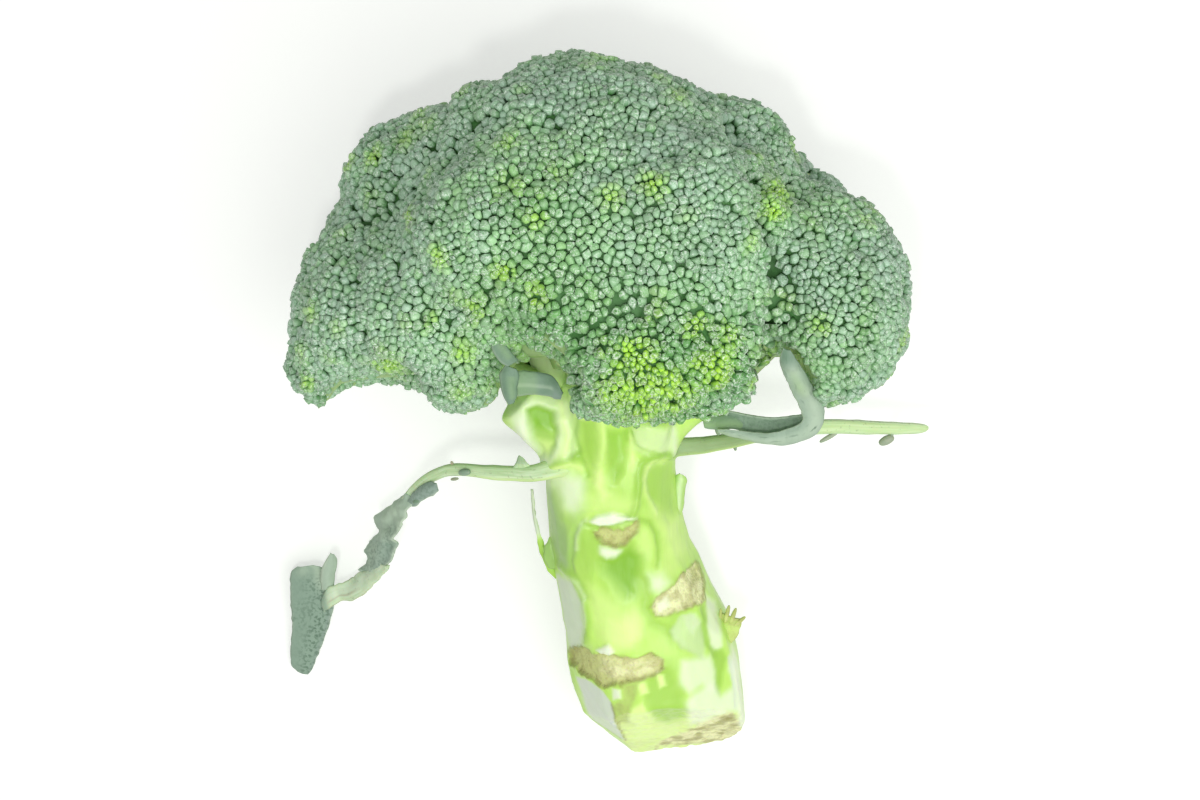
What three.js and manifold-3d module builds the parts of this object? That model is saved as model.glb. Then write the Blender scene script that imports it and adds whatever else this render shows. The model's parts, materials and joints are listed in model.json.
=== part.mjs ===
// A head of broccoli, as cut and laid on its side: one thick stalk, eleven floret heads, each on a
// branch of its own, and the leaves and leaf bases that were left on when it was trimmed.
// Millimetres, +Z up. It rests on z = 0. The crown points toward +Y and the cut end toward -Y.
import * as THREE from "three";
import { mergeVertices } from "three/addons/utils/BufferGeometryUtils.js";
import Module from "manifold-3d";

const wasm = await Module();
wasm.setup();

// Driving dimensions.
const CONTACT_GAP = 0.45; // clear space kept between two pieces that touch in the plant
const SHELF_LEVEL = 0; // height of the surface that the head lies on
const DOME_BLEND = 2.2; // how softly two domes of one head run into each other
const RIM_BLEND = 1.6; // rounding of the rim between a head's domes and its underside
const STALK_SIDES = 24;
const STALK_STEPS = 16;
const BRANCH_SIDES = 10;
const BRANCH_STEPS = 5;
const LEAF_SIDES = 6;
const RIDGE_DEPTH = 0.035; // depth of the stalk's long ridges, as a share of its radius
const RIDGE_COUNT = 5;
const TRIM_BLOCK = 90; // edge of the block that stands for everything a knife cut takes away

// The stalk's centre line from the cut end up into the crown, with its two half widths.
const STALK_LINE = [
  { at: [21.1, -95.3, 19], across: 19, deep: 20.5 },
  { at: [18.1, -79.3, 22.8], across: 21.5, deep: 22 },
  { at: [14.1, -62.3, 29.2], across: 22.4, deep: 21 },
  { at: [9.5, -47.3, 35], across: 19.6, deep: 19 },
  { at: [5.4, -35.3, 39.5], across: 18, deep: 17.5 },
  { at: [3.2, -23.3, 44], across: 16.9, deep: 16.5 },
  { at: [2.2, -13.3, 48], across: 16.6, deep: 16 },
  { at: [1, -2.3, 52], across: 15.5, deep: 14.5 },
  { at: [-0.2, 8.7, 56], across: 11, deep: 11 },
  { at: [-0.6, 15.7, 58.5], across: 6, deep: 6 },
];

// Flat knife cuts: a point on each cut and the direction that faces out of the stalk.
const KNIFE_CUTS = [
  { at: [18.6, -83.3, 25], outward: [0.1, -0.92, 0.37] }, // the end, cut across
  { at: [-5, -74.3, 27], outward: [-0.84, -0.46, 0.28] }, // left of the end
  { at: [4.1, -84.8, 22], outward: [-0.55, -0.8, 0.2] }, // the corner between those two
  { at: [30.1, -69.3, 41], outward: [0.62, -0.12, 0.77] }, // right of the end, on the upper side
  { at: [22.4, -44.3, 52], outward: [0.48, -0.1, 0.87] }, // a leaf base sliced off on the right
  { at: [5.1, -66.3, 51.2], outward: [-0.12, -0.2, 0.97] }, // the widest leaf base, sliced off on top
];

// Each floret: heart is the middle of its head, domes are the rounded masses of buds around it,
// root and neck are the two ends of its branch, and flare is the half angle of its underside.
const FLORETS = [
  {
    name: "front",
    heart: [-3.4, 44.7, 76],
    domes: [
      { at: [-3.4, 44.7, 76], radii: [40, 36, 50] },
      { at: [-24.4, 44.7, 83], radii: [26, 25, 46] },
      { at: [20.6, 44.7, 82], radii: [26, 29, 48] },
    ],
    root: [0.1, -8.3, 59],
    neck: [-2.4, 10.7, 66],
    neckRadius: 7.5,
    flare: 68,
    detail: 6,
  },
  {
    name: "front_low",
    heart: [12.6, 22.7, 88],
    domes: [
      { at: [12.6, 21.2, 88], radii: [26, 21, 34] },
      { at: [25.6, 20.7, 82], radii: [20, 19, 32] },
      { at: [1.6, 18.2, 88], radii: [19, 18, 32] },
    ],
    root: [9.6, -8.3, 57],
    neck: [12.6, 3.7, 68],
    neckRadius: 6.5,
    flare: 64,
    detail: 5,
  },
  {
    name: "left",
    heart: [-46.4, 26.7, 66],
    domes: [
      { at: [-46.4, 28.7, 66], radii: [24, 21, 38] },
      { at: [-37.4, 21.7, 74], radii: [21, 19, 37] },
      { at: [-61.4, 27.7, 60], radii: [19, 23, 32] },
      { at: [-70.4, 15.2, 57], radii: [10.5, 13, 20] },
    ],
    root: [-6.4, -11.3, 54],
    neck: [-20.4, 6.7, 61],
    neckRadius: 8,
    flare: 50,
    detail: 5,
  },
  {
    name: "right",
    heart: [54.6, 32.7, 66],
    domes: [
      { at: [54.1, 34.2, 66], radii: [23, 26, 33] },
      { at: [57.6, 24.7, 68], radii: [20, 21, 31] },
    ],
    root: [13.1, -7.3, 53],
    neck: [30.6, 10.7, 60],
    neckRadius: 6.5,
    flare: 48,
    detail: 5,
  },
  {
    name: "top",
    heart: [-3.4, 66.7, 66],
    domes: [
      { at: [-3.4, 60.7, 66], radii: [37, 32.5, 50] },
      { at: [-24.4, 61.7, 66], radii: [20, 20, 42] },
      { at: [17.6, 60.7, 66], radii: [20, 22, 42] },
    ],
    root: [-0.4, 9.7, 61],
    neck: [-2.4, 34.7, 66],
    neckRadius: 7,
    flare: 60,
    detail: 5,
  },
  {
    name: "upper_left",
    heart: [-45.4, 62.7, 52],
    domes: [{ at: [-44.9, 60.2, 52], radii: [22.5, 20, 34] }],
    root: [-7.4, 2.7, 54],
    neck: [-23.4, 34.7, 54],
    neckRadius: 6,
    flare: 50,
    detail: 4,
  },
  {
    name: "upper_right",
    heart: [34.6, 64.7, 52],
    domes: [{ at: [33.6, 64.7, 52], radii: [19, 20, 32] }],
    root: [8.6, 3.7, 55],
    neck: [19.6, 36.7, 54],
    neckRadius: 6,
    flare: 50,
    detail: 4,
  },
  {
    name: "back_left",
    heart: [-45.4, 38.7, 34],
    domes: [
      { at: [-45.4, 40.7, 35], radii: [31, 30, 36.5] },
      { at: [-40.4, 27.7, 38], radii: [25, 21, 31] },
    ],
    root: [-6.4, -7.3, 45],
    neck: [-21.4, 9.7, 42],
    neckRadius: 6.5,
    flare: 52,
    detail: 4,
  },
  {
    name: "back_right",
    heart: [42.6, 38.7, 34],
    domes: [
      { at: [42.6, 41.7, 35], radii: [32, 30, 36.5] },
      { at: [40.6, 27.7, 38], radii: [26, 22, 31] },
    ],
    root: [10.6, -7.3, 46],
    neck: [23.6, 10.7, 42],
    neckRadius: 6.5,
    flare: 52,
    detail: 4,
  },
  {
    name: "back_centre",
    heart: [-1.4, 36.7, 38],
    domes: [
      { at: [-1.4, 37.7, 38], radii: [33, 31, 39.5] },
      { at: [-1.4, 24.7, 37], radii: [26, 22, 34] },
    ],
    root: [1.6, -8.3, 40],
    neck: [-0.4, 10.7, 42],
    neckRadius: 7,
    flare: 60,
    detail: 4,
  },
  {
    name: "back_top",
    heart: [-3.4, 62.7, 40],
    domes: [{ at: [-3.4, 61.2, 40], radii: [38, 28, 40.5] }],
    root: [-0.4, 10.7, 54],
    neck: [-2.4, 34.7, 46],
    neckRadius: 7,
    flare: 58,
    detail: 4,
  },
];

// Leaves and leaf bases: stations along each one, with its width, its thickness and the way its
// upper side faces.
const LEFT_LEAF_RIB = [
  { at: [-6.9, -10.3, 62], width: 4.4, thick: 4, up: [0, 0, 1] },
  { at: [-15.6, -12.5, 60], width: 3.8, thick: 3.4, up: [0, 0, 1] },
  { at: [-28.7, -12.7, 55], width: 2.8, thick: 2.6, up: [0, 0, 1] },
  { at: [-40, -12.5, 49], width: 2.6, thick: 2.2, up: [0.2, 0, 1] },
  { at: [-46.4, -16.1, 44], width: 6.4, thick: 1.6, up: [0.5, 0.2, 0.9] },
  { at: [-52.4, -23.8, 37], width: 7.4, thick: 1.5, up: [0.6, -0.3, 0.7] },
  { at: [-57.8, -33.8, 27], width: 8, thick: 1.5, up: [0.5, 0.1, 0.8] },
  { at: [-63.2, -42.3, 16], width: 5, thick: 1.7, up: [0.2, 0.3, 0.9] },
  { at: [-69.4, -47.3, 10], width: 2.4, thick: 2, up: [0, 0.2, 1] },
  { at: [-77.4, -50.3, 7.5], width: 2.2, thick: 1.8, up: [0, 0.2, 1] },
];
const LEFT_LEAF_BLADE = [
  { at: [-77.9, -36.8, 9], width: 4, thick: 1.4, up: [0.2, 0.2, 1] },
  { at: [-79.9, -43.3, 8.4], width: 10, thick: 1.5, up: [0.2, 0.15, 1] },
  { at: [-81.2, -50.3, 7], width: 12, thick: 1.5, up: [0.2, 0.2, 1] },
  { at: [-82.8, -60.3, 4], width: 9.6, thick: 1.5, up: [0.15, 0.3, 1] },
  { at: [-84, -70.8, 1.2], width: 4, thick: 1.3, up: [0, 0.2, 1] },
];
const RIGHT_LEAF_STALK = [
  { at: [18.4, -6.9, 53], width: 4.6, thick: 4, up: [0, 0, 1] },
  { at: [25.7, -6.9, 50], width: 4.2, thick: 3.6, up: [0, 0, 1] },
  { at: [36.6, -5.3, 47], width: 3.9, thick: 3.4, up: [0, 0, 1] },
  { at: [50.6, -2.5, 44], width: 3.6, thick: 3.2, up: [0, 0, 1] },
  { at: [64.6, -1.2, 41], width: 3.2, thick: 3, up: [0, 0, 1] },
  { at: [76.6, -1.5, 38], width: 2.6, thick: 2.4, up: [0, 0, 1] },
  { at: [87.6, -1.9, 36], width: 1.6, thick: 1.6, up: [0, 0, 1] },
];
const CURLED_LEAF = [
  { at: [22.6, -1.9, 66], width: 4, thick: 1.4, up: [0, -0.5, 1] },
  { at: [29.6, -3.3, 64], width: 7, thick: 1.5, up: [0, -0.6, 1] },
  { at: [38.6, -4.3, 64], width: 8, thick: 1.5, up: [0, -0.7, 0.9] },
  { at: [46.6, -3.1, 67], width: 8, thick: 1.5, up: [0.3, -0.7, 0.8] },
  { at: [52.6, 1.2, 74], width: 7.4, thick: 1.5, up: [0.8, -0.4, 0.7] },
  { at: [52, 7.2, 84], width: 6.6, thick: 1.5, up: [0.8, -0.2, 0.6] },
  { at: [47.2, 13.7, 93], width: 5, thick: 1.4, up: [0.6, -0.2, 0.8] },
];
const SMALL_LEAF = [
  { at: [-23.9, 7.1, 90], width: 2.2, thick: 1.2, up: [0, -0.5, 1] },
  { at: [-19.4, 7.1, 91], width: 5, thick: 1.4, up: [0, -0.55, 1] },
  { at: [-14.4, 6.9, 90], width: 6.6, thick: 1.4, up: [0.1, -0.6, 1] },
  { at: [-9.4, 5.7, 86], width: 4, thick: 1.4, up: [0.2, -0.6, 1] },
];
const TORN_STRIP = [
  { at: [-14, -42.3, 35], width: 3.4, thick: 1.4, up: [-0.8, 0, 0.6] },
  { at: [-15.8, -35.3, 37], width: 3.2, thick: 1.2, up: [-0.8, 0, 0.6] },
  { at: [-17.2, -27.3, 39.5], width: 2, thick: 1.1, up: [-0.8, 0, 0.6] },
  { at: [-18, -17.8, 42], width: 1.1, thick: 1, up: [-0.8, 0, 0.6] },
];
const LEAF_STUB = [
  { at: [20, -26.3, 45], width: 3.4, thick: 2, up: [0.8, 0, 0.6] },
  { at: [21.2, -20.3, 46.5], width: 3.6, thick: 1.8, up: [0.8, 0, 0.6] },
  { at: [21.6, -14.8, 48], width: 2, thick: 1.3, up: [0.8, 0, 0.6] },
];
const TORN_LEAF_BASE = [
  { at: [33.2, -63.3, 34], width: 3, thick: 3.2, up: [0.7, 0, 0.7] },
  { at: [35.2, -58.3, 35], width: 6.5, thick: 3.6, up: [0.7, 0, 0.7] },
  { at: [36.2, -52.8, 36.5], width: 7, thick: 3.4, up: [0.7, 0, 0.7] },
  { at: [37.4, -47.9, 38], width: 3, thick: 2.2, up: [0.7, 0, 0.7] },
];

/** A vector from three numbers. */
function vector(numbers) {
  return new THREE.Vector3(...numbers);
}

/** Whole-number steps from 0 up to count - 1. */
function steps(count) {
  return [...Array(count).keys()];
}

/** Turns a closed geometry into a solid that can be joined and cut. */
function solidFrom(geometry) {
  const bare = geometry.clone();
  bare.deleteAttribute("normal");
  bare.deleteAttribute("uv");
  const merged = mergeVertices(bare, 1e-4);
  return new wasm.Manifold(
    new wasm.Mesh({
      numProp: 3,
      vertProperties: new Float32Array(merged.attributes.position.array),
      triVerts: new Uint32Array(merged.index.array),
    }),
  );
}

/** Turns a solid back into a geometry with flat-sided faces. */
function geometryFrom(solid) {
  const mesh = solid.getMesh();
  const geometry = new THREE.BufferGeometry();
  geometry.setAttribute("position", new THREE.BufferAttribute(mesh.vertProperties, 3));
  geometry.setIndex(new THREE.BufferAttribute(mesh.triVerts, 1));
  geometry.computeVertexNormals();
  return geometry;
}

/** A closed skin over rings of points that all run the same way round; both ends are capped. */
function loft(rings) {
  const sides = rings[0].length;
  const points = rings.flat();
  const faces = [];
  for (let ring = 0; ring < rings.length - 1; ring += 1) {
    for (let side = 0; side < sides; side += 1) {
      const next = (side + 1) % sides;
      const low = ring * sides;
      const high = low + sides;
      faces.push(low + side, low + next, high + next);
      faces.push(low + side, high + next, high + side);
    }
  }
  const startCap = points.length;
  const endCap = startCap + 1;
  const lastRing = (rings.length - 1) * sides;
  points.push(middleOf(rings[0]), middleOf(rings[rings.length - 1]));
  for (let side = 0; side < sides; side += 1) {
    const next = (side + 1) % sides;
    faces.push(startCap, next, side);
    faces.push(endCap, lastRing + side, lastRing + next);
  }
  const geometry = new THREE.BufferGeometry().setFromPoints(points);
  geometry.setIndex(faces);
  return geometry;
}

/** The mean of a ring of points. */
function middleOf(ring) {
  const sum = ring.reduce((total, point) => total.add(point), new THREE.Vector3());
  return sum.divideScalar(ring.length);
}

/** One ring of an oval section, square to the way the line runs, with its top toward up. */
function ovalRing({ centre, along, up, halfAcross, halfDeep, sides, relief = () => 1 }) {
  const across = new THREE.Vector3().crossVectors(along, up).normalize();
  const over = new THREE.Vector3().crossVectors(across, along).normalize();
  return steps(sides).map((side) => {
    const angle = (2 * Math.PI * side) / sides;
    const swell = relief(angle);
    return centre
      .clone()
      .addScaledVector(across, -halfAcross * Math.cos(angle) * swell)
      .addScaledVector(over, halfDeep * Math.sin(angle) * swell);
  });
}

/** A number read off evenly spaced values, eased between them. */
function readBetween(values, share) {
  const place = share * (values.length - 1);
  const low = Math.min(Math.floor(place), values.length - 2);
  return THREE.MathUtils.lerp(values[low], values[low + 1], THREE.MathUtils.smoothstep(place - low, 0, 1));
}

/** The stalk, swollen by extra on every side, before any knife cut. */
function stalkBlank(extra) {
  const line = new THREE.CatmullRomCurve3(STALK_LINE.map((station) => vector(station.at)));
  const across = STALK_LINE.map((station) => station.across);
  const deep = STALK_LINE.map((station) => station.deep);
  const rings = steps(STALK_STEPS + 1).map((step) => {
    const share = step / STALK_STEPS;
    return ovalRing({
      centre: line.getPoint(share),
      along: line.getTangent(share),
      up: new THREE.Vector3(0, 0, 1),
      halfAcross: readBetween(across, share) + extra,
      halfDeep: readBetween(deep, share) + extra,
      sides: STALK_SIDES,
      relief: (angle) => 1 + RIDGE_DEPTH * Math.cos(RIDGE_COUNT * angle + 4 * share),
    });
  });
  return solidFrom(loft(rings));
}

/** Everything on the outer side of a flat cut. */
function beyondCut({ at, outward }) {
  const facing = vector(outward).normalize();
  const block = new THREE.BoxGeometry(TRIM_BLOCK, TRIM_BLOCK, TRIM_BLOCK);
  const turn = new THREE.Quaternion().setFromUnitVectors(new THREE.Vector3(0, 0, 1), facing);
  block.applyQuaternion(turn);
  block.translate(...vector(at).addScaledVector(facing, TRIM_BLOCK / 2));
  return solidFrom(block);
}

/** Everything below the surface that the head lies on. */
function belowShelf() {
  const depth = 40;
  const shelf = new THREE.BoxGeometry(4 * TRIM_BLOCK, 4 * TRIM_BLOCK, depth);
  shelf.translate(0, 0, SHELF_LEVEL - depth / 2);
  return solidFrom(shelf);
}

/** The main stalk with its cut end and the flats where leaves were sliced off. */
function mainStalk() {
  const trimmed = KNIFE_CUTS.reduce((stalk, cut) => stalk.subtract(beyondCut(cut)), stalkBlank(0));
  return trimmed.subtract(belowShelf());
}

/** A floret's branch, swollen by extra: it leaves the stalk along the stalk and bends to its neck. */
function branchBlank({ root, neck, neckRadius }, extra) {
  const start = vector(root);
  const end = vector(neck);
  const rise = start.distanceTo(end) / 3;
  const leaving = start.clone().addScaledVector(new THREE.Vector3(-0.1, 0.94, 0.33), rise);
  const line = new THREE.CubicBezierCurve3(start, leaving, leaving.clone().lerp(end, 0.5), end);
  const rings = steps(BRANCH_STEPS + 1).map((step) => {
    const share = step / BRANCH_STEPS;
    const radius = neckRadius * THREE.MathUtils.lerp(1.04, 1, share) + extra;
    return ovalRing({
      centre: line.getPoint(share),
      along: line.getTangent(share),
      up: new THREE.Vector3(0, 0, 1),
      halfAcross: radius,
      halfDeep: radius,
      sides: BRANCH_SIDES,
    });
  });
  return solidFrom(loft(rings));
}

/** How far a ray from inside or beside an oval dome runs before it leaves the dome; 0 if it misses. */
function exitFromDome(from, ray, { at, radii }, extra) {
  const size = vector(radii).addScalar(extra);
  const offset = from.clone().sub(vector(at)).divide(size);
  const heading = ray.clone().divide(size);
  const a = heading.lengthSq();
  const b = offset.dot(heading);
  const c = offset.lengthSq() - 1;
  const inside = b * b - a * c;
  return inside > 0 ? Math.max(0, (Math.sqrt(inside) - b) / a) : 0;
}

/** How far a ray from the heart runs before it leaves the cone of the underside. */
function exitFromCone(ray, axis, apexDistance, flare) {
  const slope = Math.cos(flare) ** 2;
  const turn = ray.dot(axis);
  const a = turn * turn - slope;
  const b = apexDistance * turn * (1 - slope);
  const c = apexDistance * apexDistance * (1 - slope);
  const staysInside = a >= 0 && turn > 0;
  return staysInside ? Infinity : (-b - Math.sqrt(b * b - a * c)) / a;
}

/** How far a ray from the heart runs before it reaches the flat neck. */
function exitAtNeck(ray, axis, neckDistance) {
  const toward = -ray.dot(axis);
  return toward > 0 ? neckDistance / toward : Infinity;
}

/** A soft largest value, so that two domes meet in a rounded valley. */
function softLargest(values, blend) {
  const largest = Math.max(...values);
  const sum = values.reduce((total, value) => total + Math.exp((value - largest) / blend), 0);
  return largest + blend * Math.log(sum);
}

/** A floret's head, swollen by extra: domes of buds above, a cone of small branches below. */
function headBlank({ heart, domes, neck, neckRadius, flare, detail }, extra) {
  const middle = vector(heart);
  const axis = middle.clone().sub(vector(neck));
  const neckDistance = axis.length() - CONTACT_GAP + extra;
  axis.normalize();
  const angle = THREE.MathUtils.degToRad(flare);
  const apexDistance = axis.dot(middle.clone().sub(vector(neck))) + (neckRadius + extra) / Math.tan(angle);
  const ball = new THREE.IcosahedronGeometry(1, detail);
  ball.deleteAttribute("normal");
  ball.deleteAttribute("uv");
  const skin = mergeVertices(ball, 1e-5);
  const places = skin.attributes.position;
  for (let index = 0; index < places.count; index += 1) {
    const ray = new THREE.Vector3().fromBufferAttribute(places, index).normalize();
    const crown = softLargest(domes.map((dome) => exitFromDome(middle, ray, dome, extra)), DOME_BLEND);
    const underside = exitFromCone(ray, axis, apexDistance, angle);
    const reach = -softLargest([-crown, -underside], RIM_BLEND);
    const length = Math.min(reach, exitAtNeck(ray, axis, neckDistance));
    places.setXYZ(index, ...ray.multiplyScalar(length).add(middle));
  }
  return solidFrom(skin);
}

/** A leaf, petiole or torn strip as one closed skin over its stations. */
function leafSolid(stations, stepCount) {
  const line = new THREE.CatmullRomCurve3(stations.map((station) => vector(station.at)));
  const widths = stations.map((station) => station.width);
  const thicknesses = stations.map((station) => station.thick);
  const faceX = stations.map((station) => station.up[0]);
  const faceY = stations.map((station) => station.up[1]);
  const faceZ = stations.map((station) => station.up[2]);
  const rings = steps(stepCount + 1).map((step) => {
    const share = step / stepCount;
    return ovalRing({
      centre: line.getPoint(share),
      along: line.getTangent(share),
      up: new THREE.Vector3(
        readBetween(faceX, share),
        readBetween(faceY, share),
        readBetween(faceZ, share),
      ),
      halfAcross: readBetween(widths, share) / 2,
      halfDeep: readBetween(thicknesses, share) / 2,
      sides: LEAF_SIDES,
    });
  });
  return solidFrom(loft(rings));
}

/** The left leaf: its long rib with a narrow blade, and the end blade that lies on the shelf. */
function leftLeaf() {
  return leafSolid(LEFT_LEAF_RIB, 26).add(leafSolid(LEFT_LEAF_BLADE, 9));
}

/** A material from a colour and a roughness; plant tissue is never metal. */
function tissue(colour, roughness) {
  return new THREE.MeshStandardMaterial({ color: colour, roughness, metalness: 0 });
}

/** Adds one named piece to the plant. */
function addPiece(plant, name, solid, material) {
  const mesh = new THREE.Mesh(geometryFrom(solid), material);
  mesh.name = name;
  plant.add(mesh);
}

/** Builds the whole plant; each piece is cut clear of the pieces that were placed before it. */
function broccoli() {
  const plant = new THREE.Group();
  const stalk = mainStalk();
  addPiece(plant, "main_stalk", stalk, tissue("#b9e467", 0.35));
  const shelf = belowShelf();
  let taken = stalkBlank(CONTACT_GAP);
  for (const floret of FLORETS) {
    const branch = branchBlank(floret, 0).subtract(taken);
    addPiece(plant, `branch_${floret.name}`, branch, tissue("#c8e0a8", 0.45));
    taken = taken.add(branchBlank(floret, CONTACT_GAP));
  }
  for (const floret of FLORETS) {
    const head = headBlank(floret, 0).subtract(taken).subtract(shelf);
    addPiece(plant, `head_${floret.name}`, head, tissue("#7f9f7e", 0.85));
    taken = taken.add(headBlank(floret, CONTACT_GAP));
  }
  addPiece(plant, "leaf_left", leftLeaf().subtract(taken), tissue("#8ba091", 0.7));
  addPiece(plant, "leaf_right", leafSolid(RIGHT_LEAF_STALK, 18).subtract(taken), tissue("#b2cf96", 0.55));
  addPiece(plant, "leaf_curled", leafSolid(CURLED_LEAF, 18).subtract(taken), tissue("#a1b79f", 0.7));
  addPiece(plant, "leaf_small", leafSolid(SMALL_LEAF, 8).subtract(taken), tissue("#7d9d7d", 0.7));
  addPiece(plant, "torn_strip", leafSolid(TORN_STRIP, 8).subtract(taken), tissue("#9db98a", 0.7));
  addPiece(plant, "leaf_stub", leafSolid(LEAF_STUB, 6).subtract(taken), tissue("#a8cc7a", 0.6));
  addPiece(plant, "torn_leaf_base", leafSolid(TORN_LEAF_BASE, 8).subtract(taken), tissue("#d5dfa0", 0.8));
  return plant;
}

export default broccoli();
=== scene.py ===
"""A head of broccoli lying on its side: florets of buds, a ribbed stalk and the leaves left on it.

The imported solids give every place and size. Each floret head becomes a bed of tissue, a spray of
small branches below it and a crowd of separate buds; the stalk and its branches become one
continuous skin; each leaf is a stalk and a thin blade. Lengths are metres, written as N * MM.
"""

import itertools
import json
import logging
import math
from dataclasses import dataclass, field
from enum import Enum, IntEnum

import bpy
import numpy as np
from bpy.types import Material, Mesh, Node, NodeSocket, NodeTree, Object
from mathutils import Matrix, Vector, kdtree
from mathutils.bvhtree import BVHTree

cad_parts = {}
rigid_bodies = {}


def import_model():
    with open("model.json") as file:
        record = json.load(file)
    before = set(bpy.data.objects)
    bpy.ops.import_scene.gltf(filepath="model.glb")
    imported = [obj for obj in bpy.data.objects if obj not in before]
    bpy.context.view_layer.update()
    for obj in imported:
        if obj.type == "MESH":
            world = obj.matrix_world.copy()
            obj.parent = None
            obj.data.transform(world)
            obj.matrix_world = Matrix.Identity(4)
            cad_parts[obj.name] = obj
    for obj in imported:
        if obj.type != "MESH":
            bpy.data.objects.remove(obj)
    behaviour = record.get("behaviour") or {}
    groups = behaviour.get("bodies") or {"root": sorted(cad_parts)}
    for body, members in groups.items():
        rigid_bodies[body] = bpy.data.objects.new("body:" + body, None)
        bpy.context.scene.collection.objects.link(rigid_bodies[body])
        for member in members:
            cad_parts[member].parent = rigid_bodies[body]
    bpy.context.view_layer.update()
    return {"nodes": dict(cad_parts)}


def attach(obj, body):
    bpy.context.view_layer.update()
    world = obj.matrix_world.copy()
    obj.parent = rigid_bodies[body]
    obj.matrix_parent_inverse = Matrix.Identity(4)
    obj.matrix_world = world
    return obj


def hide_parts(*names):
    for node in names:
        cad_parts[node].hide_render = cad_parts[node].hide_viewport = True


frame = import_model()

Array = np.ndarray
LOG = logging.getLogger("broccoli")
MM = 0.001
BODY = "root"
SEED = 20
WHITE = "#FFFFFF"
COLOUR_MIX = {"data_type": "RGBA"}
FIRST, SECOND, MIXED = 6, 7, 2  # the colour sockets of a mix node
PATCH_FLOOR = 45 * MM  # patches of colour show above this height only
BARE_FLOOR = 50 * MM  # dents are bare of buds above this height only
RAMP = ("Value", "From Min", "From Max", "To Min", "To Max")  # the sockets of a map range node


# ---------------------------------------------------------------- numbers and shapes


def linear(colour: str) -> tuple[float, float, float, float]:
    """A colour for a shader socket.

    Args:
        colour: An sRGB hex value such as "#8FB08C".

    Returns:
        The same colour as linear red, green and blue, with an alpha of 1.
    """
    shares = [int(colour[i : i + 2], 16) / 255 for i in (1, 3, 5)]
    plain = [s / 12.92 if s <= 0.04045 else ((s + 0.055) / 1.055) ** 2.4 for s in shares]
    return (*plain, 1.0)


def eased(low: float, high: float, values: Array) -> Array:
    """Values eased from 0 at low to 1 at high."""
    share = np.clip((values - low) / (high - low), 0, 1)
    return share * share * (3 - 2 * share)


def unit(vectors: Array) -> Array:
    """The vectors, each with a length of 1."""
    return vectors / np.maximum(np.linalg.norm(vectors, axis=-1, keepdims=True), 1e-12)


def noise(places: Array, size: float, seed: int) -> Array:
    """Smooth noise in space.

    Args:
        places: Points, one a row.
        size: The distance over which the noise changes.
        seed: Which noise it is.

    Returns:
        A value from -1 to 1 for each point.
    """
    cell = np.floor(places / size).astype(np.int64)
    share = places / size - cell
    ease = share * share * (3 - 2 * share)
    total = np.zeros(len(places))
    for corner in itertools.product((0, 1), repeat=3):
        spot = cell + corner
        key = spot[:, 0] * 73856093 ^ spot[:, 1] * 19349663 ^ spot[:, 2] * 83492791 ^ seed * 2654435
        key = (key ^ (key >> 13)) * 1274126177
        value = ((key ^ (key >> 16)) & 0xFFFF) / 32767.5 - 1
        total += value * np.prod(np.where(corner, ease, 1 - ease), axis=1)
    return total


def drift(places: Array, size: float, seed: int) -> Array:
    """Noise in two directions, one row for each point."""
    return np.stack([noise(places, size, seed), noise(places, size, seed + 1)], axis=1)


def line_distance(places: Array, route: Array) -> Array:
    """How far each point is from a route of straight stretches."""
    nearest = np.full(len(places), np.inf)
    for start, end in zip(route[:-1], route[1:]):
        run = end - start
        share = np.clip((places - start) @ run / max(run @ run, 1e-18), 0, 1)
        nearest = np.minimum(nearest, np.linalg.norm(places - start - share[:, None] * run, axis=1))
    return nearest


def inside_depth(places: Array, outline: Array) -> Array:
    """How deep each flat point lies inside an outline; outside, minus its distance from it."""
    closed = np.vstack([outline, outline[:1]])
    inside = np.zeros(len(places), bool)
    for (x0, y0), (x1, y1) in zip(closed[:-1], closed[1:]):
        spans = (y0 > places[:, 1]) != (y1 > places[:, 1])
        rise = np.where(y1 == y0, 1e-12, y1 - y0)
        inside ^= spans & (places[:, 0] < (x1 - x0) * (places[:, 1] - y0) / rise + x0)
    return np.where(inside, 1, -1) * line_distance(places, closed)


def smooth_line(knots: Array, count: int) -> Array:
    """Rows of numbers read off a smooth line through the knots.

    Args:
        knots: One knot a row: a place, a width or anything else that changes along the line.
        count: How many rows to give back, evenly spaced in knots.

    Returns:
        The rows, the first and last of them on the first and last knot.
    """
    padded = np.vstack([2 * knots[0] - knots[1], knots, 2 * knots[-1] - knots[-2]])
    place = np.linspace(0, len(knots) - 1, count)
    low = np.minimum(place.astype(int), len(knots) - 2)
    t = (place - low)[:, None]
    a, b, c, d = (padded[low + i] for i in range(4))
    cubic = 2 * b + (c - a) * t + (2 * a - 5 * b + 4 * c - d) * t**2 + (3 * b - a - 3 * c + d) * t**3
    return cubic / 2


def turn_from_up(directions: Array, rolls: Array) -> Array:
    """Quaternions that turn +Z to each direction, after a roll about it."""
    half_roll = rolls / 2
    roll = np.stack([np.cos(half_roll), 0 * rolls, 0 * rolls, np.sin(half_roll)], axis=1)
    x, y, z = directions.T
    swing = np.stack([1 + z, -y, x, 0 * x], axis=1)
    swing = np.where((z < -0.9999)[:, None], [[0, 1, 0, 0]], swing)
    swing = unit(swing)
    w0, v0, w1, v1 = swing[:, :1], swing[:, 1:], roll[:, :1], roll[:, 1:]
    real = w0 * w1 - np.sum(v0 * v1, axis=1, keepdims=True)
    return np.hstack([real, w0 * v1 + w1 * v0 + np.cross(v0, v1)])


# ---------------------------------------------------------------- meshes and nodes


def feed(tree: NodeTree, node: Node, inputs: dict) -> None:
    """Gives a node's sockets, by name or number, each a value or the socket that feeds it."""
    for key, value in inputs.items():
        if isinstance(value, NodeSocket):
            tree.links.new(value, node.inputs[key])
        else:
            node.inputs[key].default_value = value


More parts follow.
